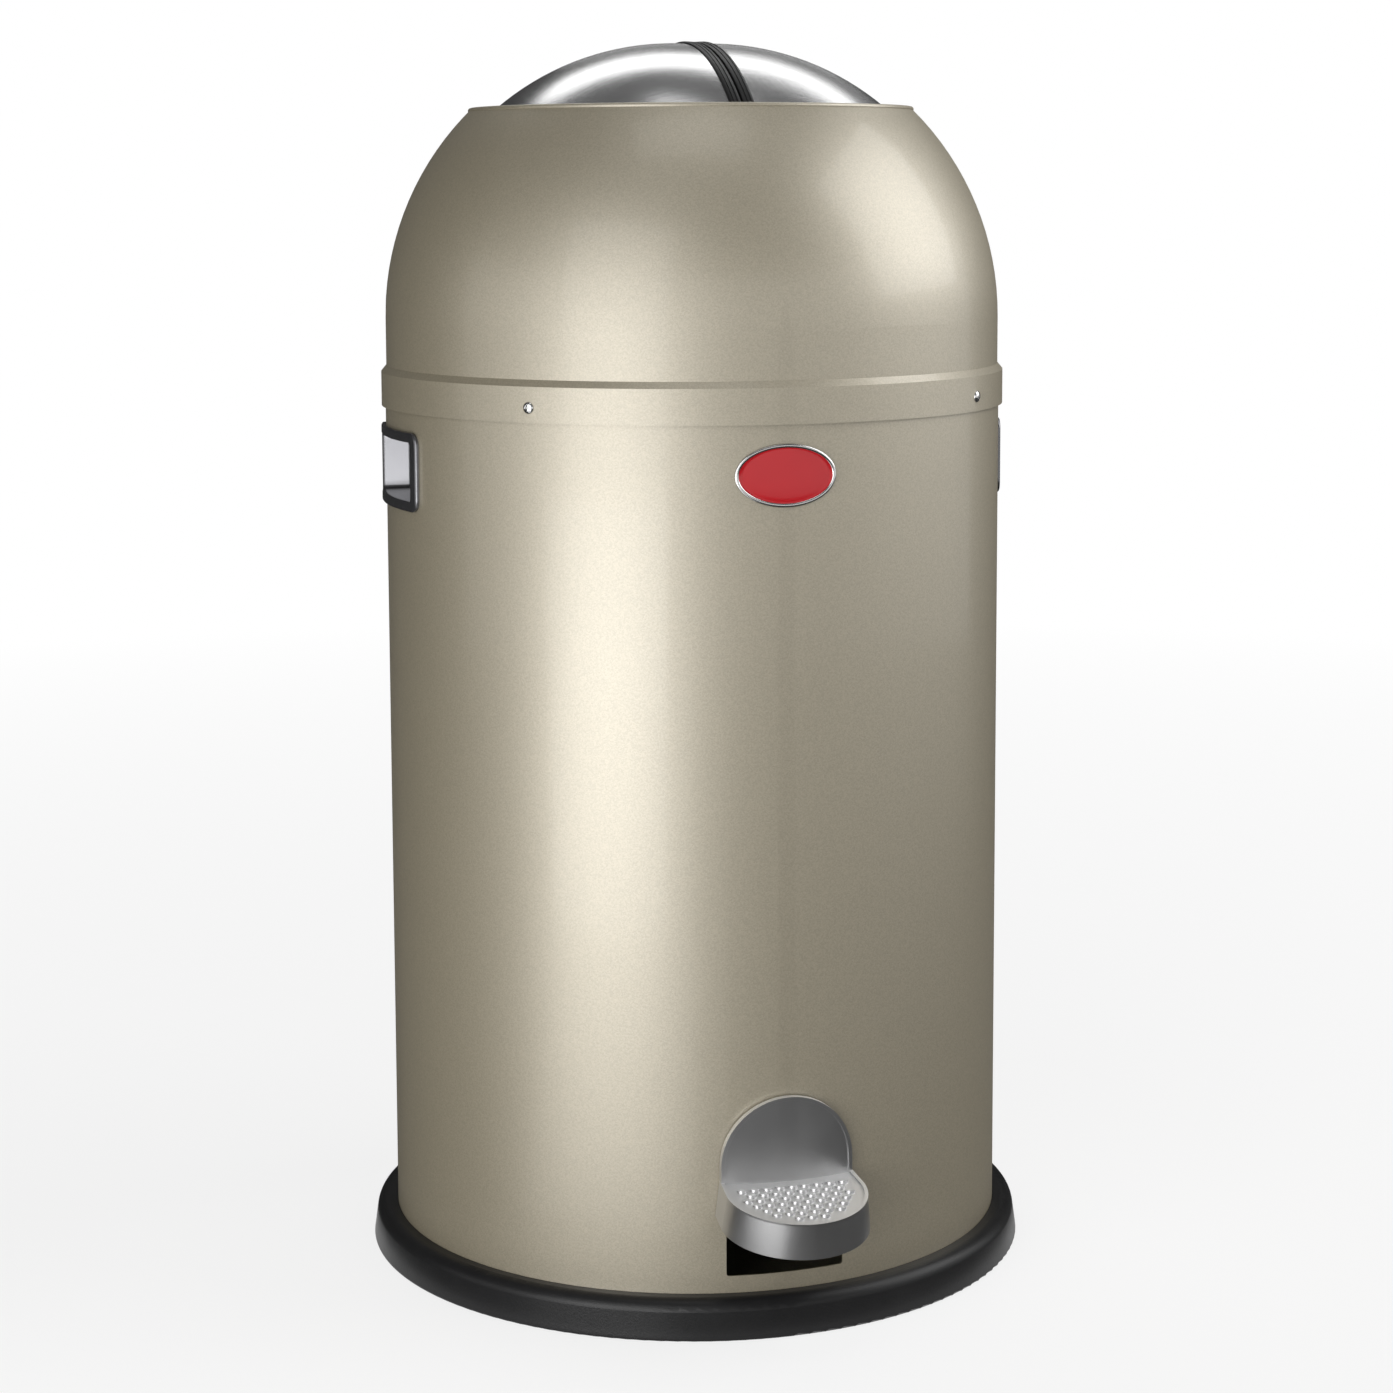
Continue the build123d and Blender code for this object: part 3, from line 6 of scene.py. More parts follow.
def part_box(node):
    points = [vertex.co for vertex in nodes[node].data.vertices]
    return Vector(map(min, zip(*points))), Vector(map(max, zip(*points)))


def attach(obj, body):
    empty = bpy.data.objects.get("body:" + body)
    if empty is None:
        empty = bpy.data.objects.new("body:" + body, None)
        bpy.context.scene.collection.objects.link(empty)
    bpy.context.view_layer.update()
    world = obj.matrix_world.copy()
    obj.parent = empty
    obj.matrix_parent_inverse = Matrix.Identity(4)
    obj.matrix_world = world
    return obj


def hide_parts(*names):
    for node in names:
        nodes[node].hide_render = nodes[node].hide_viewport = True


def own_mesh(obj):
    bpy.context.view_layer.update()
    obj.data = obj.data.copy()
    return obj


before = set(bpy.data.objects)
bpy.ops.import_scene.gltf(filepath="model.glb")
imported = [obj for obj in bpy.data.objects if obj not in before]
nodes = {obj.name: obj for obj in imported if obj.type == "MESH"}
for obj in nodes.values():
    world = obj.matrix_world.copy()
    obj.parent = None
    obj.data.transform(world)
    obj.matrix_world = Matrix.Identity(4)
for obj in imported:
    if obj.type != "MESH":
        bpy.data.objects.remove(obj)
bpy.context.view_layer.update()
scene = bpy.context.scene

# The studio: a pale floor that curves up into a low wall all round, soft boxes left and right, banks of
# light behind and above, and dark cards that only reflections show. The floor looks white by itself and
# keeps the bin's shadow. Lengths are in metres here.
CAMERA_TURN = radians(16.2)
CAMERA_DISTANCE = 1.6904
CAMERA_HEIGHT = 0.6079
CAMERA_PITCH = radians(6.69)
CAMERA_ROLL = radians(0.233)
CAMERA_LENS = 76.64
CAMERA_SENSOR = 36.0
CAMERA_SHIFT_X = 0.0029
CAMERA_SHIFT_Y = -0.12
CAMERA_FAR_LIMIT = 100
FLOOR_MIDDLE = 0.01
FLOOR_INNER = 1.0
FLOOR_RADIUS = 5.0
WALL_CURVE = 1.0
WALL_CURVE_STEPS = 8
WALL_HEIGHT = 2.4
SHADOW_FROM = 0.4
SHADOW_TO = 2.4


def grey(level):
    """Neutral tone, the same in red, green and blue."""
    return level, level, level, 1


def put(tree, kind, values=(), **settings):
    """Adds a node, with its input values and its settings."""
    node = tree.nodes.new("ShaderNode" + kind)
    for name, value in dict(values).items():
        node.inputs[name].default_value = value
    for name, value in settings.items():
        setattr(node, name, value)
    return node


def direction(turn, rise):
    """Unit vector from the bin; turn is degrees to the right of the camera, rise is above the floor."""
    turn = radians(turn) - CAMERA_TURN
    rise = radians(rise)
    return Vector((sin(turn) * cos(rise), -cos(turn) * cos(rise), sin(rise)))


def soft_box(name, turn, rise, reach, width, height, radiance, aim=0.35):
    """Square lamp that faces the bin's axis at the height of its aim; its power follows from its size
    and how bright it looks."""
    lamp = bpy.data.lights.new(name, "AREA")
    lamp.shape = "RECTANGLE"
    lamp.size = width
    lamp.size_y = height
    lamp.energy = radiance * pi * width * height
    goal = Vector((0, 0, aim))
    holder = bpy.data.objects.new(name, lamp)
    holder.location = goal + direction(turn, rise) * reach
    holder.rotation_euler = (holder.location - goal).to_track_quat("Z", "Y").to_euler()
    holder.visible_camera = False
    scene.collection.objects.link(holder)


soft_box("left_box", turn=-27, rise=14, reach=1.9, width=1.3, height=1.9, radiance=1.95)
soft_box("left_low", turn=-29, rise=10, reach=0.95, width=0.7, height=0.36, radiance=3.6, aim=0.02)
soft_box("right_box", turn=92, rise=32, reach=2.0, width=1.6, height=1.5, radiance=3.4)
soft_box("front_top", turn=0, rise=74, reach=1.8, width=1.0, height=0.6, radiance=1.5, aim=0.5)
soft_box("back_bank", turn=178, rise=44, reach=2.4, width=2.6, height=0.72, radiance=2.6, aim=0.66)
soft_box("top_box", turn=150, rise=84, reach=1.6, width=0.6, height=0.3, radiance=1.3, aim=0.66)

world = bpy.data.worlds.new("studio")
scene.world = world
world.use_nodes = True
background = world.node_tree.nodes["Background"]
background.inputs["Color"].default_value = grey(1)
background.inputs["Strength"].default_value = 0.16


def make_mesh(name, points, faces, smooth=True):
    """Object from its points and faces, linked to the scene."""
    mesh = bpy.data.meshes.new(name)
    mesh.from_pydata([tuple(point) for point in points], [], faces)
    mesh.validate()
    mesh.polygons.foreach_set("use_smooth", [smooth] * len(mesh.polygons))
    thing = bpy.data.objects.new(name, mesh)
    scene.collection.objects.link(thing)
    return thing


def lofted(loops, closed=True):
    """Faces between loops with as many points each; closed loops join their ends."""
    count = len(loops[0])
    faces = []
    for row in range(len(loops) - 1):
        for i in range(count if closed else count - 1):
            a = row * count + i
            b = row * count + (i + 1) % count
            faces.append((a, b, b + count, a + count))
    return faces


def circle_at(radius, height, count=96):
    """Points of a level circle around the bin's axis."""
    turns = [2 * pi * i / count for i in range(count)]
    return [(radius * cos(turn), radius * sin(turn), height) for turn in turns]


sweep_up = [(FLOOR_MIDDLE, 0), (FLOOR_INNER, 0), (FLOOR_RADIUS, 0)]
for step in range(1, WALL_CURVE_STEPS + 1):
    bend = step * pi / (2 * WALL_CURVE_STEPS)
    sweep_up.append((FLOOR_RADIUS + WALL_CURVE * sin(bend), WALL_CURVE * (1 - cos(bend))))
sweep_up.append((FLOOR_RADIUS + WALL_CURVE, WALL_HEIGHT))
loops = [circle_at(radius, height) for radius, height in sweep_up]
middle = [tuple(range(len(loops[0])))]
floor = make_mesh("floor", sum(loops, []), lofted(loops) + middle)

# The floor's paint glows for the eye, in reflections and through glass, a little less near the bin, and
# takes light and shadow as plain paint for the rest.
floor_finish = bpy.data.materials.new("floor_paint")
floor_finish.use_nodes = True
tree = floor_finish.node_tree
tree.nodes.clear()
seen = put(tree, "LightPath")
either = put(tree, "Math", operation="MAXIMUM")
any_of = put(tree, "Math", operation="MAXIMUM")
tree.links.new(seen.outputs["Is Camera Ray"], either.inputs[0])
tree.links.new(seen.outputs["Is Glossy Ray"], either.inputs[1])
tree.links.new(either.outputs[0], any_of.inputs[0])
tree.links.new(seen.outputs["Is Transmission Ray"], any_of.inputs[1])
spot = put(tree, "NewGeometry")
from_bin = put(tree, "VectorMath", operation="LENGTH")
tree.links.new(spot.outputs["Position"], from_bin.inputs[0])
clear = put(tree, "MapRange", {"From Min": SHADOW_FROM, "From Max": SHADOW_TO, "To Min": 0.8, "To Max": 1.0})
tree.links.new(from_bin.outputs["Value"], clear.inputs[0])
share = put(tree, "Math", operation="MULTIPLY")
tree.links.new(any_of.outputs[0], share.inputs[0])
tree.links.new(clear.outputs[0], share.inputs[1])
paint = put(tree, "BsdfDiffuse", {"Color": grey(0.72)})
glow = put(tree, "Emission", {"Color": grey(1), "Strength": 1.0})
blend = put(tree, "MixShader")
tree.links.new(share.outputs[0], blend.inputs[0])
tree.links.new(paint.outputs[0], blend.inputs[1])
tree.links.new(glow.outputs[0], blend.inputs[2])
end = put(tree, "OutputMaterial")
tree.links.new(blend.outputs[0], end.inputs["Surface"])
floor.data.materials.append(floor_finish)

card_finish = bpy.data.materials.new("dark_card")
card_finish.use_nodes = True
card_shader = card_finish.node_tree.nodes["Principled BSDF"]
card_shader.inputs["Base Color"].default_value = grey(0.04)
card_shader.inputs["Roughness"].default_value = 1.0


def reflected_only(thing):
    """Gives a card its dark finish, and hides it from everything but reflections."""
    thing.data.materials.append(card_finish)
    thing.visible_camera = False
    thing.visible_diffuse = False
    thing.visible_shadow = False
    thing.visible_transmission = False


def dark_card(name, turn, reach, width, high):
    """Card that stands on the floor and faces the bin."""
    middle = direction(turn, 0) * reach
    across = Vector((-middle.y, middle.x, 0)).normalized() * width / 2
    points = [middle - across, middle + across, middle + across, middle - across]
    heights = [0.0, 0.0, high, high]
    points = [(point.x, point.y, height) for point, height in zip(points, heights)]
    card = make_mesh(name, points, [(0, 1, 2, 3)], smooth=False)
    reflected_only(card)


def dark_rug(name, start, end, near, far, lift=0.003, steps=48):
    """Flat card just above the floor, a part of a ring from one turn to another."""
    turns = [start + (end - start) * i / steps for i in range(steps + 1)]
    above = Vector((0, 0, lift))
    loops = [[direction(turn, 0) * reach + above for turn in turns] for reach in (near, far)]
    rug = make_mesh(name, sum(loops, []), lofted(loops, closed=False), smooth=False)
    reflected_only(rug)


dark_rug("rug_front", start=0, end=150, near=0.2, far=2.4)
dark_rug("rug_behind", start=150, end=310, near=0.2, far=2.4)
dark_rug("rug_near", start=-50, end=0, near=0.2, far=0.32)
dark_card("card_left", turn=-128, reach=1.1, width=1.9, high=1.5)
dark_card("card_right", turn=142, reach=1.0, width=0.9, high=0.95)
dark_card("card_behind", turn=180, reach=1.6, width=2.4, high=1.05)

lens = bpy.data.cameras.new("camera")
lens.lens = CAMERA_LENS
lens.sensor_width = CAMERA_SENSOR
lens.shift_x = CAMERA_SHIFT_X
lens.shift_y = CAMERA_SHIFT_Y
lens.clip_end = CAMERA_FAR_LIMIT
camera = bpy.data.objects.new("camera", lens)
stand = Matrix.Rotation(-CAMERA_TURN, 4, "Z")
tilt = Matrix.Rotation(pi / 2 - CAMERA_PITCH, 4, "X")
roll = Matrix.Rotation(-CAMERA_ROLL, 4, "Z")
camera_x = -sin(CAMERA_TURN) * CAMERA_DISTANCE
camera_y = -cos(CAMERA_TURN) * CAMERA_DISTANCE
place = Vector((camera_x, camera_y, CAMERA_HEIGHT))
camera.matrix_world = Matrix.Translation(place) @ stand @ tilt @ roll
scene.collection.objects.link(camera)
scene.camera = camera
scene.view_settings.view_transform = "Standard"


# Body and dome: rolled and spun steel with a champagne metallic powder coat under a clear coat.
# Fine flake shows in the coat; the surface has the slight waviness of sprayed paint. The floor plate
# inside the body is coated like it.
COAT_LIGHT = (0.39, 0.341, 0.236, 1)
COAT_DARK = (0.30, 0.260, 0.177, 1)


def finish(name):
    """New material with a plain Principled shader, ready for its nodes."""
    material = bpy.data.materials.new(name)
    material.use_nodes = True
    return material, material.node_tree, material.node_tree.nodes["Principled BSDF"]


def set_shader(shader, **values):
    """Sets the shader's own sockets; underscores stand for the spaces in their names."""
    for name, value in values.items():
        shader.inputs[name.replace("_", " ")].default_value = value


def shader_group(name, inputs, outputs):
    """Empty node group with named number, vector or colour sockets, and its two end nodes."""
    tree = bpy.data.node_groups.new(name, "ShaderNodeTree")
    for label, kind, value in inputs:
        socket = tree.interface.new_socket(label, in_out="INPUT", socket_type="NodeSocket" + kind)
        socket.default_value = value
    for label, kind in outputs:
        tree.interface.new_socket(label, in_out="OUTPUT", socket_type="NodeSocket" + kind)
    return tree, tree.nodes.new("NodeGroupInput"), tree.nodes.new("NodeGroupOutput")


def place_group(tree, group, values):
    """Puts a group into a material with its own values."""
    node = tree.nodes.new("ShaderNodeGroup")
    node.node_tree = group
    for name, value in values.items():
        node.inputs[name].default_value = value
    return node


def give(names, material):
    """Puts a finish on carried-over pieces."""
    for name in names:
        for slot in nodes[name].material_slots:
            slot.material = material


flake, enter, leave = shader_group(
    "metal_flake",
    [("Size", "Float", 0.001), ("Waviness", "Float", 0.03)],
    [("Flake", "Float"), ("Height", "Float")])
where = put(flake, "TexCoord")
per_metre = put(flake, "Math", {0: 1.0}, operation="DIVIDE")
flake.links.new(enter.outputs["Size"], per_metre.inputs[1])
specks = put(flake, "TexVoronoi")
flake.links.new(where.outputs["Object"], specks.inputs["Vector"])
flake.links.new(per_metre.outputs[0], specks.inputs["Scale"])
one_tone = put(flake, "SeparateColor")
flake.links.new(specks.outputs["Color"], one_tone.inputs[0])
flake.links.new(one_tone.outputs[0], leave.inputs["Flake"])
peel = put(flake, "TexNoise", {"Scale": 240.0, "Detail": 1.0})
flake.links.new(where.outputs["Object"], peel.inputs["Vector"])
wave = put(flake, "Math", operation="MULTIPLY")
flake.links.new(peel.outputs[0], wave.inputs[0])
flake.links.new(enter.outputs["Waviness"], wave.inputs[1])
flake.links.new(wave.outputs[0], leave.inputs["Height"])

coat, tree, shader = finish("champagne_coat")
set_shader(
    shader, Metallic=0.36, Roughness=0.47, IOR=3.0,
    Coat_Weight=0.25, Coat_Roughness=0.09, Coat_IOR=1.45)
effect = place_group(tree, flake, {"Size": 0.0006, "Waviness": 0.02})
tone = put(tree, "MixRGB", {1: COAT_DARK, 2: COAT_LIGHT})
tree.links.new(effect.outputs["Flake"], tone.inputs[0])
tree.links.new(tone.outputs[0], shader.inputs["Base Color"])
relief = put(tree, "Bump", {"Strength": 0.12, "Distance": 0.001})
tree.links.new(effect.outputs["Height"], relief.inputs["Height"])
tree.links.new(relief.outputs[0], shader.inputs["Normal"])
give(["body_shell", "dome_shell", "body_floor"], coat)

# Lid: two flaps of stainless sheet, pressed to a sphere and brushed from side to side.
# The brushing leaves fine hairlines that run over the top, and smears reflections across them.
LID_HAIRS = (14.0, 1500.0, 14.0)
hairlines, enter, leave = shader_group(
    "hairlines",
    [("Along", "Vector", LID_HAIRS)],
    [("Line", "Float"), ("Smudge", "Float")])
where = put(hairlines, "TexCoord")
stretch = put(hairlines, "VectorMath", operation="MULTIPLY")
hairlines.links.new(where.outputs["Object"], stretch.inputs[0])
hairlines.links.new(enter.outputs["Along"], stretch.inputs[1])
hairs = put(hairlines, "TexNoise", {"Scale": 1.0, "Detail": 4.0, "Roughness": 0.65})
hairlines.links.new(stretch.outputs[0], hairs.inputs["Vector"])
hairlines.links.new(hairs.outputs[0], leave.inputs["Line"])
cloud = put(hairlines, "TexNoise", {"Scale": 22.0, "Detail": 3.0})
hairlines.links.new(where.outputs["Object"], cloud.inputs["Vector"])
hairlines.links.new(cloud.outputs[0], leave.inputs["Smudge"])


def brushed(name, dark, light, along, smooth, rough, depth, axis=None, **values):
    """Brushed metal: hairlines in its tone and relief, and slow changes in its gloss."""
    material, tree, shader = finish(name)
    set_shader(shader, Metallic=1.0, **values)
    effect = place_group(tree, hairlines, {"Along": along})
    tone = put(tree, "MixRGB", {1: dark, 2: light})
    tree.links.new(effect.outputs["Line"], tone.inputs[0])
    tree.links.new(tone.outputs[0], shader.inputs["Base Color"])
    gloss = put(tree, "MapRange", {"To Min": smooth, "To Max": rough})
    tree.links.new(effect.outputs["Smudge"], gloss.inputs[0])
    tree.links.new(gloss.outputs[0], shader.inputs["Roughness"])
    relief = put(tree, "Bump", {"Strength": depth, "Distance": 0.0001})
    tree.links.new(effect.outputs["Line"], relief.inputs["Height"])
    tree.links.new(relief.outputs[0], shader.inputs["Normal"])
    if axis:
        lay = put(tree, "Tangent", direction_type="RADIAL", axis=axis)
        tree.links.new(lay.outputs[0], shader.inputs["Tangent"])
    return material


lid_steel = brushed(
    "brushed_steel", dark=grey(0.40), light=grey(0.62), along=LID_HAIRS,
    smooth=0.20, rough=0.30, depth=0.35, axis="Y", Anisotropic=0.35)
give(["left_flap_shell", "right_flap_shell"], lid_steel)

# End plates and cranks of the flaps: flat steel like the flaps', cut to shape and left with the fine
# scratches of the rolling mill, a little duller than the brushed flaps.
plate_steel = brushed(
    "plate_steel", dark=(0.42, 0.42, 0.43, 1), light=(0.60, 0.60, 0.61, 1), along=(60.0, 60.0, 900.0),
    smooth=0.28, rough=0.42, depth=0.2)
for hand in ("left", "right"):
    give([f"{hand}_{piece}" for piece in ("front_plate", "rear_plate", "crank")], plate_steel)

# Seam seals: black rubber channels pushed over the flaps' straight edges, extruded with two shallow
# grooves on top and a round nose that meets its neighbour. They follow the flap's curve from front to
# back. The section is in millimetres: across from the seam, and proud of the lid's sphere.
LID_RADIUS = 0.153
LID_CENTRE = Vector((0.0113, 0, 0.532))
SEAL_SECTION = (
    (0.50, -1.60), (0.62, -2.05), (0.95, -2.25), (6.60, -2.25), (6.90, -1.95), (6.90, -1.18), (1.85, -1.18),
    (1.85, 0.17), (6.90, 0.17), (6.90, 0.45), (6.55, 0.85), (5.75, 1.20), (5.35, 1.25), (5.20, 0.92),
    (4.80, 0.92), (4.65, 1.25), (3.10, 1.25), (2.95, 0.88), (2.45, 0.88), (2.30, 1.25), (1.15, 1.25),
    (0.70, 1.08), (0.50, 0.70))
SEAL_STATIONS = 97

grain, enter, leave = shader_group(
    "fine_grain",
    [("Size", "Float", 0.001), ("Clouds", "Float", 30.0)],
    [("Grain", "Float"), ("Cloud", "Float")])
where = put(grain, "TexCoord")
per_metre = put(grain, "Math", {0: 1.0}, operation="DIVIDE")
grain.links.new(enter.outputs["Size"], per_metre.inputs[1])
pits = put(grain, "TexNoise", {"Detail": 2.0, "Roughness": 0.6})
grain.links.new(where.outputs["Object"], pits.inputs["Vector"])
grain.links.new(per_metre.outputs[0], pits.inputs["Scale"])
grain.links.new(pits.outputs[0], leave.inputs["Grain"])
cloud = put(grain, "TexNoise", {"Detail": 2.0})
grain.links.new(where.outputs["Object"], cloud.inputs["Vector"])
grain.links.new(enter.outputs["Clouds"], cloud.inputs["Scale"])
grain.links.new(cloud.outputs[0], leave.inputs["Cloud"])

edges, enter, leave = shader_group("bright_edges", [("Reach", "Float", 0.0005)], [("Edge", "Float")])
soft = put(edges, "Bevel", samples=4)
edges.links.new(enter.outputs["Reach"], soft.inputs["Radius"])
true_face = put(edges, "NewGeometry")
alike = put(edges, "VectorMath", operation="DOT_PRODUCT")
edges.links.new(soft.outputs[0], alike.inputs[0])
edges.links.new(true_face.outputs["Normal"], alike.inputs[1])
turned = put(edges, "MapRange", {"From Min": 0.995, "From Max": 0.86, "To Min": 0.0, "To Max": 1.0})
edges.links.new(alike.outputs["Value"], turned.inputs[0])
edges.links.new(turned.outputs[0], leave.inputs["Edge"])


def moulded(name, dark, light, size, smooth, rough, depth, edge=None, **values):
    """Grained surface of a moulding or casting; edge is the lighter tone given to its corners: rubbed wear on
    most pieces, a painted highlight on the grip's bevels.
    """
    material, tree, shader = finish(name)
    set_shader(shader, **values)
    effect = place_group(tree, grain, {"Size": size})
    tone = put(tree, "MixRGB", {1: dark, 2: light})
    tree.links.new(effect.outputs["Cloud"], tone.inputs[0])
    gloss = put(tree, "MapRange", {"To Min": smooth, "To Max": rough})
    tree.links.new(effect.outputs["Cloud"], gloss.inputs[0])
    tree.links.new(gloss.outputs[0], shader.inputs["Roughness"])
    relief = put(tree, "Bump", {"Strength": depth, "Distance": 0.0002})
    tree.links.new(effect.outputs["Grain"], relief.inputs["Height"])
    tree.links.new(relief.outputs[0], shader.inputs["Normal"])
    # Corners get the edge tone: rubbed wear on most pieces, and on the grip a painted highlight.
    if edge:
        rubbed_and_lit_edges = place_group(tree, edges, {"Reach": 0.0004})
        worn_and_lit_edges = put(tree, "MixRGB", {2: edge})
        tree.links.new(rubbed_and_lit_edges.outputs["Edge"], worn_and_lit_edges.inputs[0])
        tree.links.new(tone.outputs[0], worn_and_lit_edges.inputs[1])
        tone = worn_and_lit_edges
    tree.links.new(tone.outputs[0], shader.inputs["Base Color"])
    return material


rubber = moulded(
    "rubber", dark=grey(0.006), light=grey(0.012), size=0.0008,
    smooth=0.38, rough=0.52, depth=0.2, Specular_IOR_Level=0.25)


def seal(name, side, node):
    """Sweeps the seal's section along the flap's edge and closes both ends."""
    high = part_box(node)[1]
    loops = []
    for station in range(SEAL_STATIONS):
        share = station / (SEAL_STATIONS - 1)
        loop = []
        for across, proud in SEAL_SECTION:
            off = across / 1000 - LID_CENTRE.x
            ball = LID_RADIUS + proud / 1000
            ring = sqrt(ball ** 2 - off ** 2)
            reach = asin(high.y / sqrt(LID_RADIUS ** 2 - off ** 2))
            turn = reach * (2 * share - 1)
            loop.append((side * across / 1000, ring * sin(turn), LID_CENTRE.z + ring * cos(turn)))
        loops.append(loop)
    count = len(SEAL_SECTION)
    faces = lofted(loops)
    faces.append(tuple(range(count)))
    faces.append(tuple(reversed(range((SEAL_STATIONS - 1) * count, SEAL_STATIONS * count))))
    piece = make_mesh(name, sum(loops, []), faces, smooth=False)
    if side > 0:
        piece.data.flip_normals()
    piece.data.materials.append(rubber)
    piece.data.set_sharp_from_angle(angle=radians(35))
    piece.data.polygons.foreach_set("use_smooth", [True] * len(piece.data.polygons))
    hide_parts(node)
    return piece


for hand, side in (("left", -1), ("right", 1)):
    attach(seal(hand + "_seam_seal", side, hand + "_flap_seal"), hand + "_flap")

# Base ring: one moulding of black plastic with a fine spark-eroded grain and a round shoulder.
# The bin stands on it.
ring_plastic = moulded(
    "ring_plastic", dark=(0.009, 0.009, 0.0095, 1), light=(0.014, 0.014, 0.0145, 1), size=0.0011,
    smooth=0.32, rough=0.44, depth=0.35, Specular_IOR_Level=0.25)
give(["base_ring"], ring_plastic)

# Side grips: a plated cup with a proud frame, moulded in one piece and pushed through the body from
# outside. The frame's edges are bevelled; two studs behind it take push-on nuts. Its profile is in
# millimetres: inwards from the frame's outer edge, and proud of the body's wall.
BODY_RADIUS = 0.174
GRIP_HALF_WIDTH = 48.0
GRIP_HALF_HEIGHT = 21.7
GRIP_CORNER = 7.0
GRIP_LEAST_CORNER = 2.4
GRIP_SIDE_SHARE = 1.45
GRIP_PROFILE = (
    (20.6, -15.0), (14.0, -15.0), (5.2, -15.0), (4.4, -14.2), (4.4, 0.3), (0.0, 0.3), (0.0, 1.5), (0.25, 2.1),
    (0.9, 2.55), (1.5, 2.6), (4.6, 2.6), (5.2, 2.3), (5.6, 1.6), (5.8, 0.4), (6.2, -12.2), (6.6, -13.2),
    (7.6, -13.6), (14.0, -13.6), (20.6, -13.6))


def rounded_loop(half_width, half_height, corner, arc=8, straight=14, roundest=0.95):
    """Rounded rectangle as points (across, up), as many on every loop."""
    corner = min(corner, half_height * roundest, half_width * roundest)
    arcs = []
    for quarter, (right, above) in enumerate(((1, -1), (1, 1), (-1, 1), (-1, -1))):
        across = right * (half_width - corner)
        up = above * (half_height - corner)
        turns = [radians(90 * (quarter - 1) + 90 * i / arc) for i in range(arc + 1)]
        arcs.append([(across + corner * cos(turn), up + corner * sin(turn)) for turn in turns])
    points = []
    for bend, following in zip(arcs, arcs[1:] + arcs[:1]):
        points += bend
        x, y = bend[-1]
        goal_x, goal_y = following[0]
        for i in range(1, straight):
            share = i / straight
            points.append((x + (goal_x - x) * share, y + (goal_y - y) * share))
    return points


def on_body(side, across, up, proud, middle):
    """Point on the body's wall, millimetres across, up and proud from the middle of a side or the front."""
    turn = across / 1000 / BODY_RADIUS
    radius = BODY_RADIUS + proud / 1000
    if side == "front":
        return radius * sin(turn), -radius * cos(turn), middle + up / 1000
    return side * radius * cos(turn), side * radius * sin(turn), middle + up / 1000


def capped(loops):
    """Faces of a tube through closed loops, with a flat face at both ends."""
    count = len(loops[0])
    first = tuple(reversed(range(count)))
    last = tuple(range((len(loops) - 1) * count, len(loops) * count))
    return lofted(loops) + [first, last]


# The edge tone here is a painted highlight along the frame's bevelled edges.
grip_plating = moulded(
    "grip_plating", dark=(0.13, 0.13, 0.138, 1), light=(0.18, 0.18, 0.188, 1), size=0.0007,
    smooth=0.20, rough=0.28, depth=0.08, edge=(0.62, 0.62, 0.64, 1), Metallic=0.85)
for hand, side in (("left", -1), ("right", 1)):
    low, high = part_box(hand + "_grip")
    middle = (low.z + high.z) / 2
    loops = []
    for inset, proud in GRIP_PROFILE:
        width = GRIP_HALF_WIDTH - inset * GRIP_SIDE_SHARE
        corner = max(GRIP_CORNER - inset, GRIP_LEAST_CORNER)
        flat = rounded_loop(width, GRIP_HALF_HEIGHT - inset, corner)
        loops.append([on_body(side, across, up, proud, middle) for across, up in flat])
    piece = make_mesh(hand + "_grip_cup", sum(loops, []), capped(loops))
    piece.data.set_sharp_from_angle(angle=radians(50))
    piece.data.materials.append(grip_plating)
    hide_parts(hand + "_grip")
    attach(piece, "bin_body")

# Name plate: an oval of pressed metal with a rolled edge, filled with red enamel that lies a little
# domed. Nothing is written on it. Its section is in millimetres: inwards from the oval's edge, and
# proud of the body's wall.
PLATE_SECTION = (
    (0.0, 0.3), (0.0, 1.1), (0.25, 1.5), (0.9, 1.7), (1.6, 1.6), (2.0, 1.3), (2.1, 1.1), (2.8, 1.2),
    (5.0, 1.32), (8.0, 1.42), (11.0, 1.48), (14.0, 1.5), (16.3, 1.5))
PLATE_HALF_WIDTH = 27.5
PLATE_HALF_HEIGHT = 16.5
PLATE_RIM = 2.1
PLATE_SIDE_SHARE = 1.6
PLATE_POINTS = 96
ENAMEL_LOOP = 5
plate_rim = moulded(
    "plate_rim", dark=grey(0.50), light=(0.66, 0.66, 0.65, 1), size=0.0006,
    smooth=0.16, rough=0.26, depth=0.05, Metallic=1.0)
enamel = moulded(
    "red_enamel", dark=(0.46, 0.006, 0.012, 1), light=(0.52, 0.010, 0.016, 1), size=0.003,
    smooth=0.16, rough=0.24, depth=0.05, Coat_Weight=0.2, Coat_Roughness=0.04)
low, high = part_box("badge_plate")
middle = (low.z + high.z) / 2
loops = []
for inset, proud in PLATE_SECTION:
    half_width = PLATE_HALF_WIDTH - inset * (PLATE_SIDE_SHARE if inset > PLATE_RIM else 1)
    half_height = PLATE_HALF_HEIGHT - inset
    loop = []
    for i in range(PLATE_POINTS):
        turn = 2 * pi * i / PLATE_POINTS
        loop.append(on_body("front", half_width * cos(turn), half_height * sin(turn), proud, middle))
    loops.append(loop)
plate = make_mesh("name_plate", sum(loops, []), capped(loops))
plate.data.materials.append(plate_rim)
plate.data.materials.append(enamel)
for face in plate.data.polygons:
    face.material_index = 1 if min(face.vertices) >= ENAMEL_LOOP * PLATE_POINTS else 0
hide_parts("badge_plate")
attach(plate, "bin_body")
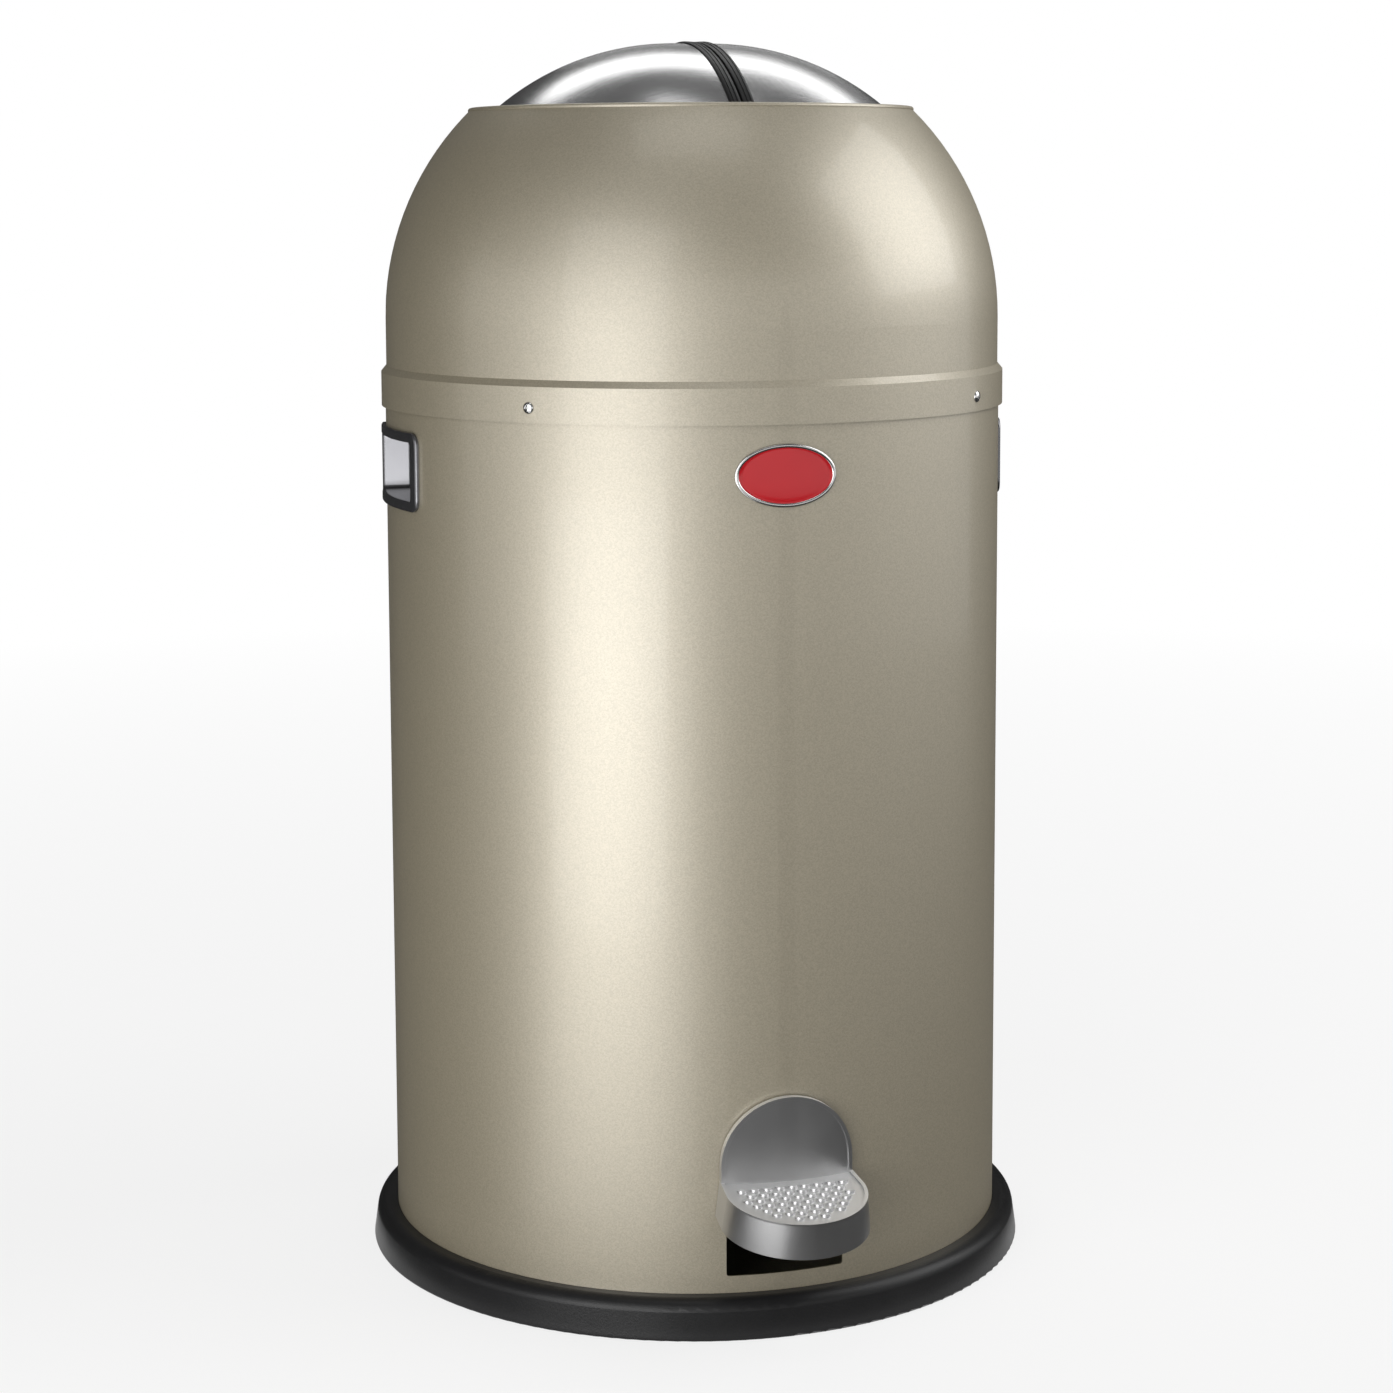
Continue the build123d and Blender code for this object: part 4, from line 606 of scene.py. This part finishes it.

# Kick pedal: cast aluminium, tread, apron and shield in one, smooth on the apron and the shield.
# The tread is blasted, so it scatters light, and its upward faces are painted lighter as if lit from above;
# feet keep its edges bright.
cast = moulded(
    "cast_aluminium", dark=(0.45, 0.45, 0.455, 1), light=grey(0.55), size=0.0012,
    smooth=0.28, rough=0.36, depth=0.2, edge=grey(0.66), Metallic=0.95)
tree = cast.node_tree
shader = tree.nodes["Principled BSDF"]
# Faces that look up get a rougher gloss for the blasting and a lighter tone, a painted light from above.
facing = put(tree, "NewGeometry")
upright = put(tree, "SeparateXYZ")
tree.links.new(facing.outputs["Normal"], upright.inputs[0])
blasted_and_lit_top = put(tree, "MapRange", {"From Min": 0.55, "From Max": 0.9})
tree.links.new(upright.outputs["Z"], blasted_and_lit_top.inputs[0])
for socket, blast_and_top_light in (("Base Color", grey(0.80)), ("Roughness", grey(0.55))):
    before = shader.inputs[socket].links[0].from_socket
    both = put(tree, "MixRGB", {2: blast_and_top_light})
    tree.links.new(blasted_and_lit_top.outputs[0], both.inputs[0])
    tree.links.new(before, both.inputs[1])
    tree.links.new(both.outputs[0], shader.inputs[socket])
give(["pedal_casting"], cast)

# Skirt screws: four raised-head screws, nickel plated, that hold the dome to its ring. Each has a cross
# pressed into its head and a plain shank through the skirt. Their sizes are in millimetres, and the
# radius of their seat in metres.
SCREW_SEAT = 0.1762
SCREW_ANGLES = (45, 135, 225, 315)
SCREW_POINTS = 72
SCREW_HEAD = 3.2
SCREW_RISE = 1.7
SHANK_RADIUS = 1.8
SHANK_LENGTH = 5.0
CROSS_HALF = 0.42
CROSS_REACH = 1.9
CROSS_DEPTH = 1.0
CROSS_RING = 0.14
CROSS_RINGS = 14
RIM_RINGS = [2.2, 2.5, 2.8, 3.0, 3.12, 3.18, SCREW_HEAD]
nickel = moulded(
    "nickel_plate", dark=grey(0.60), light=(0.72, 0.72, 0.71, 1), size=0.0005,
    smooth=0.12, rough=0.20, depth=0.05, Metallic=1.0)


def head_height(x, y):
    """Height of the domed head above its seat, with the cross cut into it."""
    out = sqrt(x * x + y * y)
    rise = SCREW_RISE * sqrt(max(0.0, 1 - (out / SCREW_HEAD) ** 2))
    in_cross = min(abs(x), abs(y)) < CROSS_HALF and out < CROSS_REACH
    return rise - CROSS_DEPTH if in_cross else rise


low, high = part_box("skirt_screws")
middle = Vector((0, 0, (low.z + high.z) / 2))
up = Vector((0, 0, 1))
turns = [2 * pi * i / SCREW_POINTS for i in range(SCREW_POINTS)]
rings = [CROSS_RING * i for i in range(1, CROSS_RINGS + 1)] + RIM_RINGS
points = []
faces = []
for angle in SCREW_ANGLES:
    start = len(points)
    out = Vector((cos(radians(angle)), sin(radians(angle)), 0))
    along = Vector((-out.y, out.x, 0))
    loops = []
    for ring in rings:
        loop = []
        for turn in turns:
            x, y = ring * cos(turn), ring * sin(turn)
            spot = out * (SCREW_SEAT + head_height(x, y) / 1000) + (along * x + up * y) / 1000
            loop.append(spot + middle)
        loops.append(loop)
    for depth in (0.0, -SHANK_LENGTH):
        loop = []
        for turn in turns:
            round_shank = (along * cos(turn) + up * sin(turn)) * SHANK_RADIUS / 1000
            loop.append(out * (SCREW_SEAT + depth / 1000) + round_shank + middle)
        loops.append(loop)
    points += sum(loops, [])
    faces += [tuple(corner + start for corner in face) for face in capped(loops)]
screws = make_mesh("cross_head_screws", points, faces)
screws.data.flip_normals()
screws.data.set_sharp_from_angle(angle=radians(50))
screws.data.materials.append(nickel)
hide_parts("skirt_screws")
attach(screws, "dome")

# Brackets, lever, guides, hinge and fasteners: pressed or turned steel with a thin bluish zinc plating
# that is rubbed bright at the edges.
zinc = moulded(
    "zinc_plate", dark=(0.44, 0.46, 0.48, 1), light=(0.60, 0.60, 0.57, 1), size=0.0009,
    smooth=0.26, rough=0.42, depth=0.15, edge=grey(0.74), Metallic=1.0)
give([
    "lever_bracket", "bracket_screws", "lever_axle", "axle_clips", "liner_stand", "lower_rod_guide",
    "upper_rod_guide", "body_hinge_leaf", "body_hinge_screws", "hinge_pin", "grip_nuts", "pedal_lever",
    "pedal_screws", "push_rod", "spring_collar", "mounting_ring", "front_pivot_bracket",
    "rear_pivot_bracket", "bracket_rivets", "dome_hinge_leaf", "dome_hinge_screws", "drive_stem",
    "drive_pin"], zinc)
for hand in ("left", "right"):
    give([hand + "_front_pin", hand + "_rear_shaft"], zinc)

# Return spring: seven turns of hard-drawn wire, oiled and dark, with the end turns wound closer and cut
# square. It stands on the rod's collar under the upper guide.
SPRING_TURNS = 7
SPRING_STEPS = 36
SPRING_SIDES = 14
SPRING_CLOSING = 0.06
WIRE_RADIUS = 0.0008
spring_wire = moulded(
    "spring_wire", dark=(0.16, 0.16, 0.17, 1), light=(0.26, 0.26, 0.27, 1), size=0.0006,
    smooth=0.22, rough=0.34, depth=0.1, Metallic=1.0)
low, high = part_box("return_spring")
coil = (high.x - low.x) / 2 - WIRE_RADIUS
middle_y = (low.y + high.y) / 2
free = high.z - low.z - 2 * WIRE_RADIUS
around_wire = [2 * pi * i / SPRING_SIDES for i in range(SPRING_SIDES)]
loops = []
for station in range(SPRING_TURNS * SPRING_STEPS + 1):
    share = station / (SPRING_TURNS * SPRING_STEPS)
    turn = 2 * pi * SPRING_TURNS * share
    rise = low.z + WIRE_RADIUS + free * (share - SPRING_CLOSING * sin(2 * pi * share))
    slope = free * (1 - SPRING_CLOSING * 2 * pi * cos(2 * pi * share)) / (2 * pi * SPRING_TURNS)
    outward = Vector((cos(turn), sin(turn), 0))
    ahead = Vector((-coil * sin(turn), coil * cos(turn), slope)).normalized()
    over = ahead.cross(outward)
    centre = outward * coil + Vector((0, middle_y, rise))
    loops.append([centre + (outward * cos(bend) + over * sin(bend)) * WIRE_RADIUS for bend in around_wire])
spring = make_mesh("coil_spring", sum(loops, []), capped(loops))
spring.data.flip_normals()
spring.data.set_sharp_from_angle(angle=radians(60))
spring.data.materials.append(spring_wire)
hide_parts("return_spring")
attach(spring, "bin_body")
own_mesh(spring)

# Liner: a bucket of hot-dip galvanised sheet, whose zinc has set in large pale and dark crystals.
# Its ears, rivets and bail wire are galvanised with it.
galvanised, tree, shader = finish("galvanised")
set_shader(shader, Metallic=1.0)
where = put(tree, "TexCoord")
crystals = put(tree, "TexVoronoi", {"Scale": 95.0, "Randomness": 1.0})
tree.links.new(where.outputs["Object"], crystals.inputs["Vector"])
one_tone = put(tree, "SeparateColor")
tree.links.new(crystals.outputs["Color"], one_tone.inputs[0])
tone = put(tree, "MixRGB", {1: (0.56, 0.58, 0.60, 1), 2: (0.72, 0.74, 0.75, 1)})
tree.links.new(one_tone.outputs[0], tone.inputs[0])
tree.links.new(tone.outputs[0], shader.inputs["Base Color"])
gloss = put(tree, "MapRange", {"To Min": 0.28, "To Max": 0.46})
tree.links.new(one_tone.outputs[1], gloss.inputs[0])
tree.links.new(gloss.outputs[0], shader.inputs["Roughness"])
give(["liner", "liner_ears", "ear_rivets", "liner_bail"], galvanised)

# Bushes, foot, cap and pad: turned or moulded natural nylon.
# A little light goes into it and comes out again nearby.
nylon = moulded(
    "nylon", dark=(0.74, 0.73, 0.67, 1), light=(0.82, 0.81, 0.76, 1), size=0.0014,
    smooth=0.36, rough=0.48, depth=0.12,
    Subsurface_Weight=0.2, Subsurface_Radius=(0.002, 0.002, 0.0015))
give(["lever_pad", "axle_bush", "rod_foot", "rod_cap", "pivot_bushes", "stem_bush"], nylon)

# Lever stop and bail sleeve: a moulded stop of the seals' black rubber, and black plastic tube pushed
# over the bail's wire.
give(["lever_buffer"], rubber)
sleeve = moulded(
    "bail_sleeve", dark=(0.016, 0.016, 0.017, 1), light=(0.026, 0.026, 0.027, 1), size=0.0012,
    smooth=0.34, rough=0.44, depth=0.3)
give(["bail_grip"], sleeve)
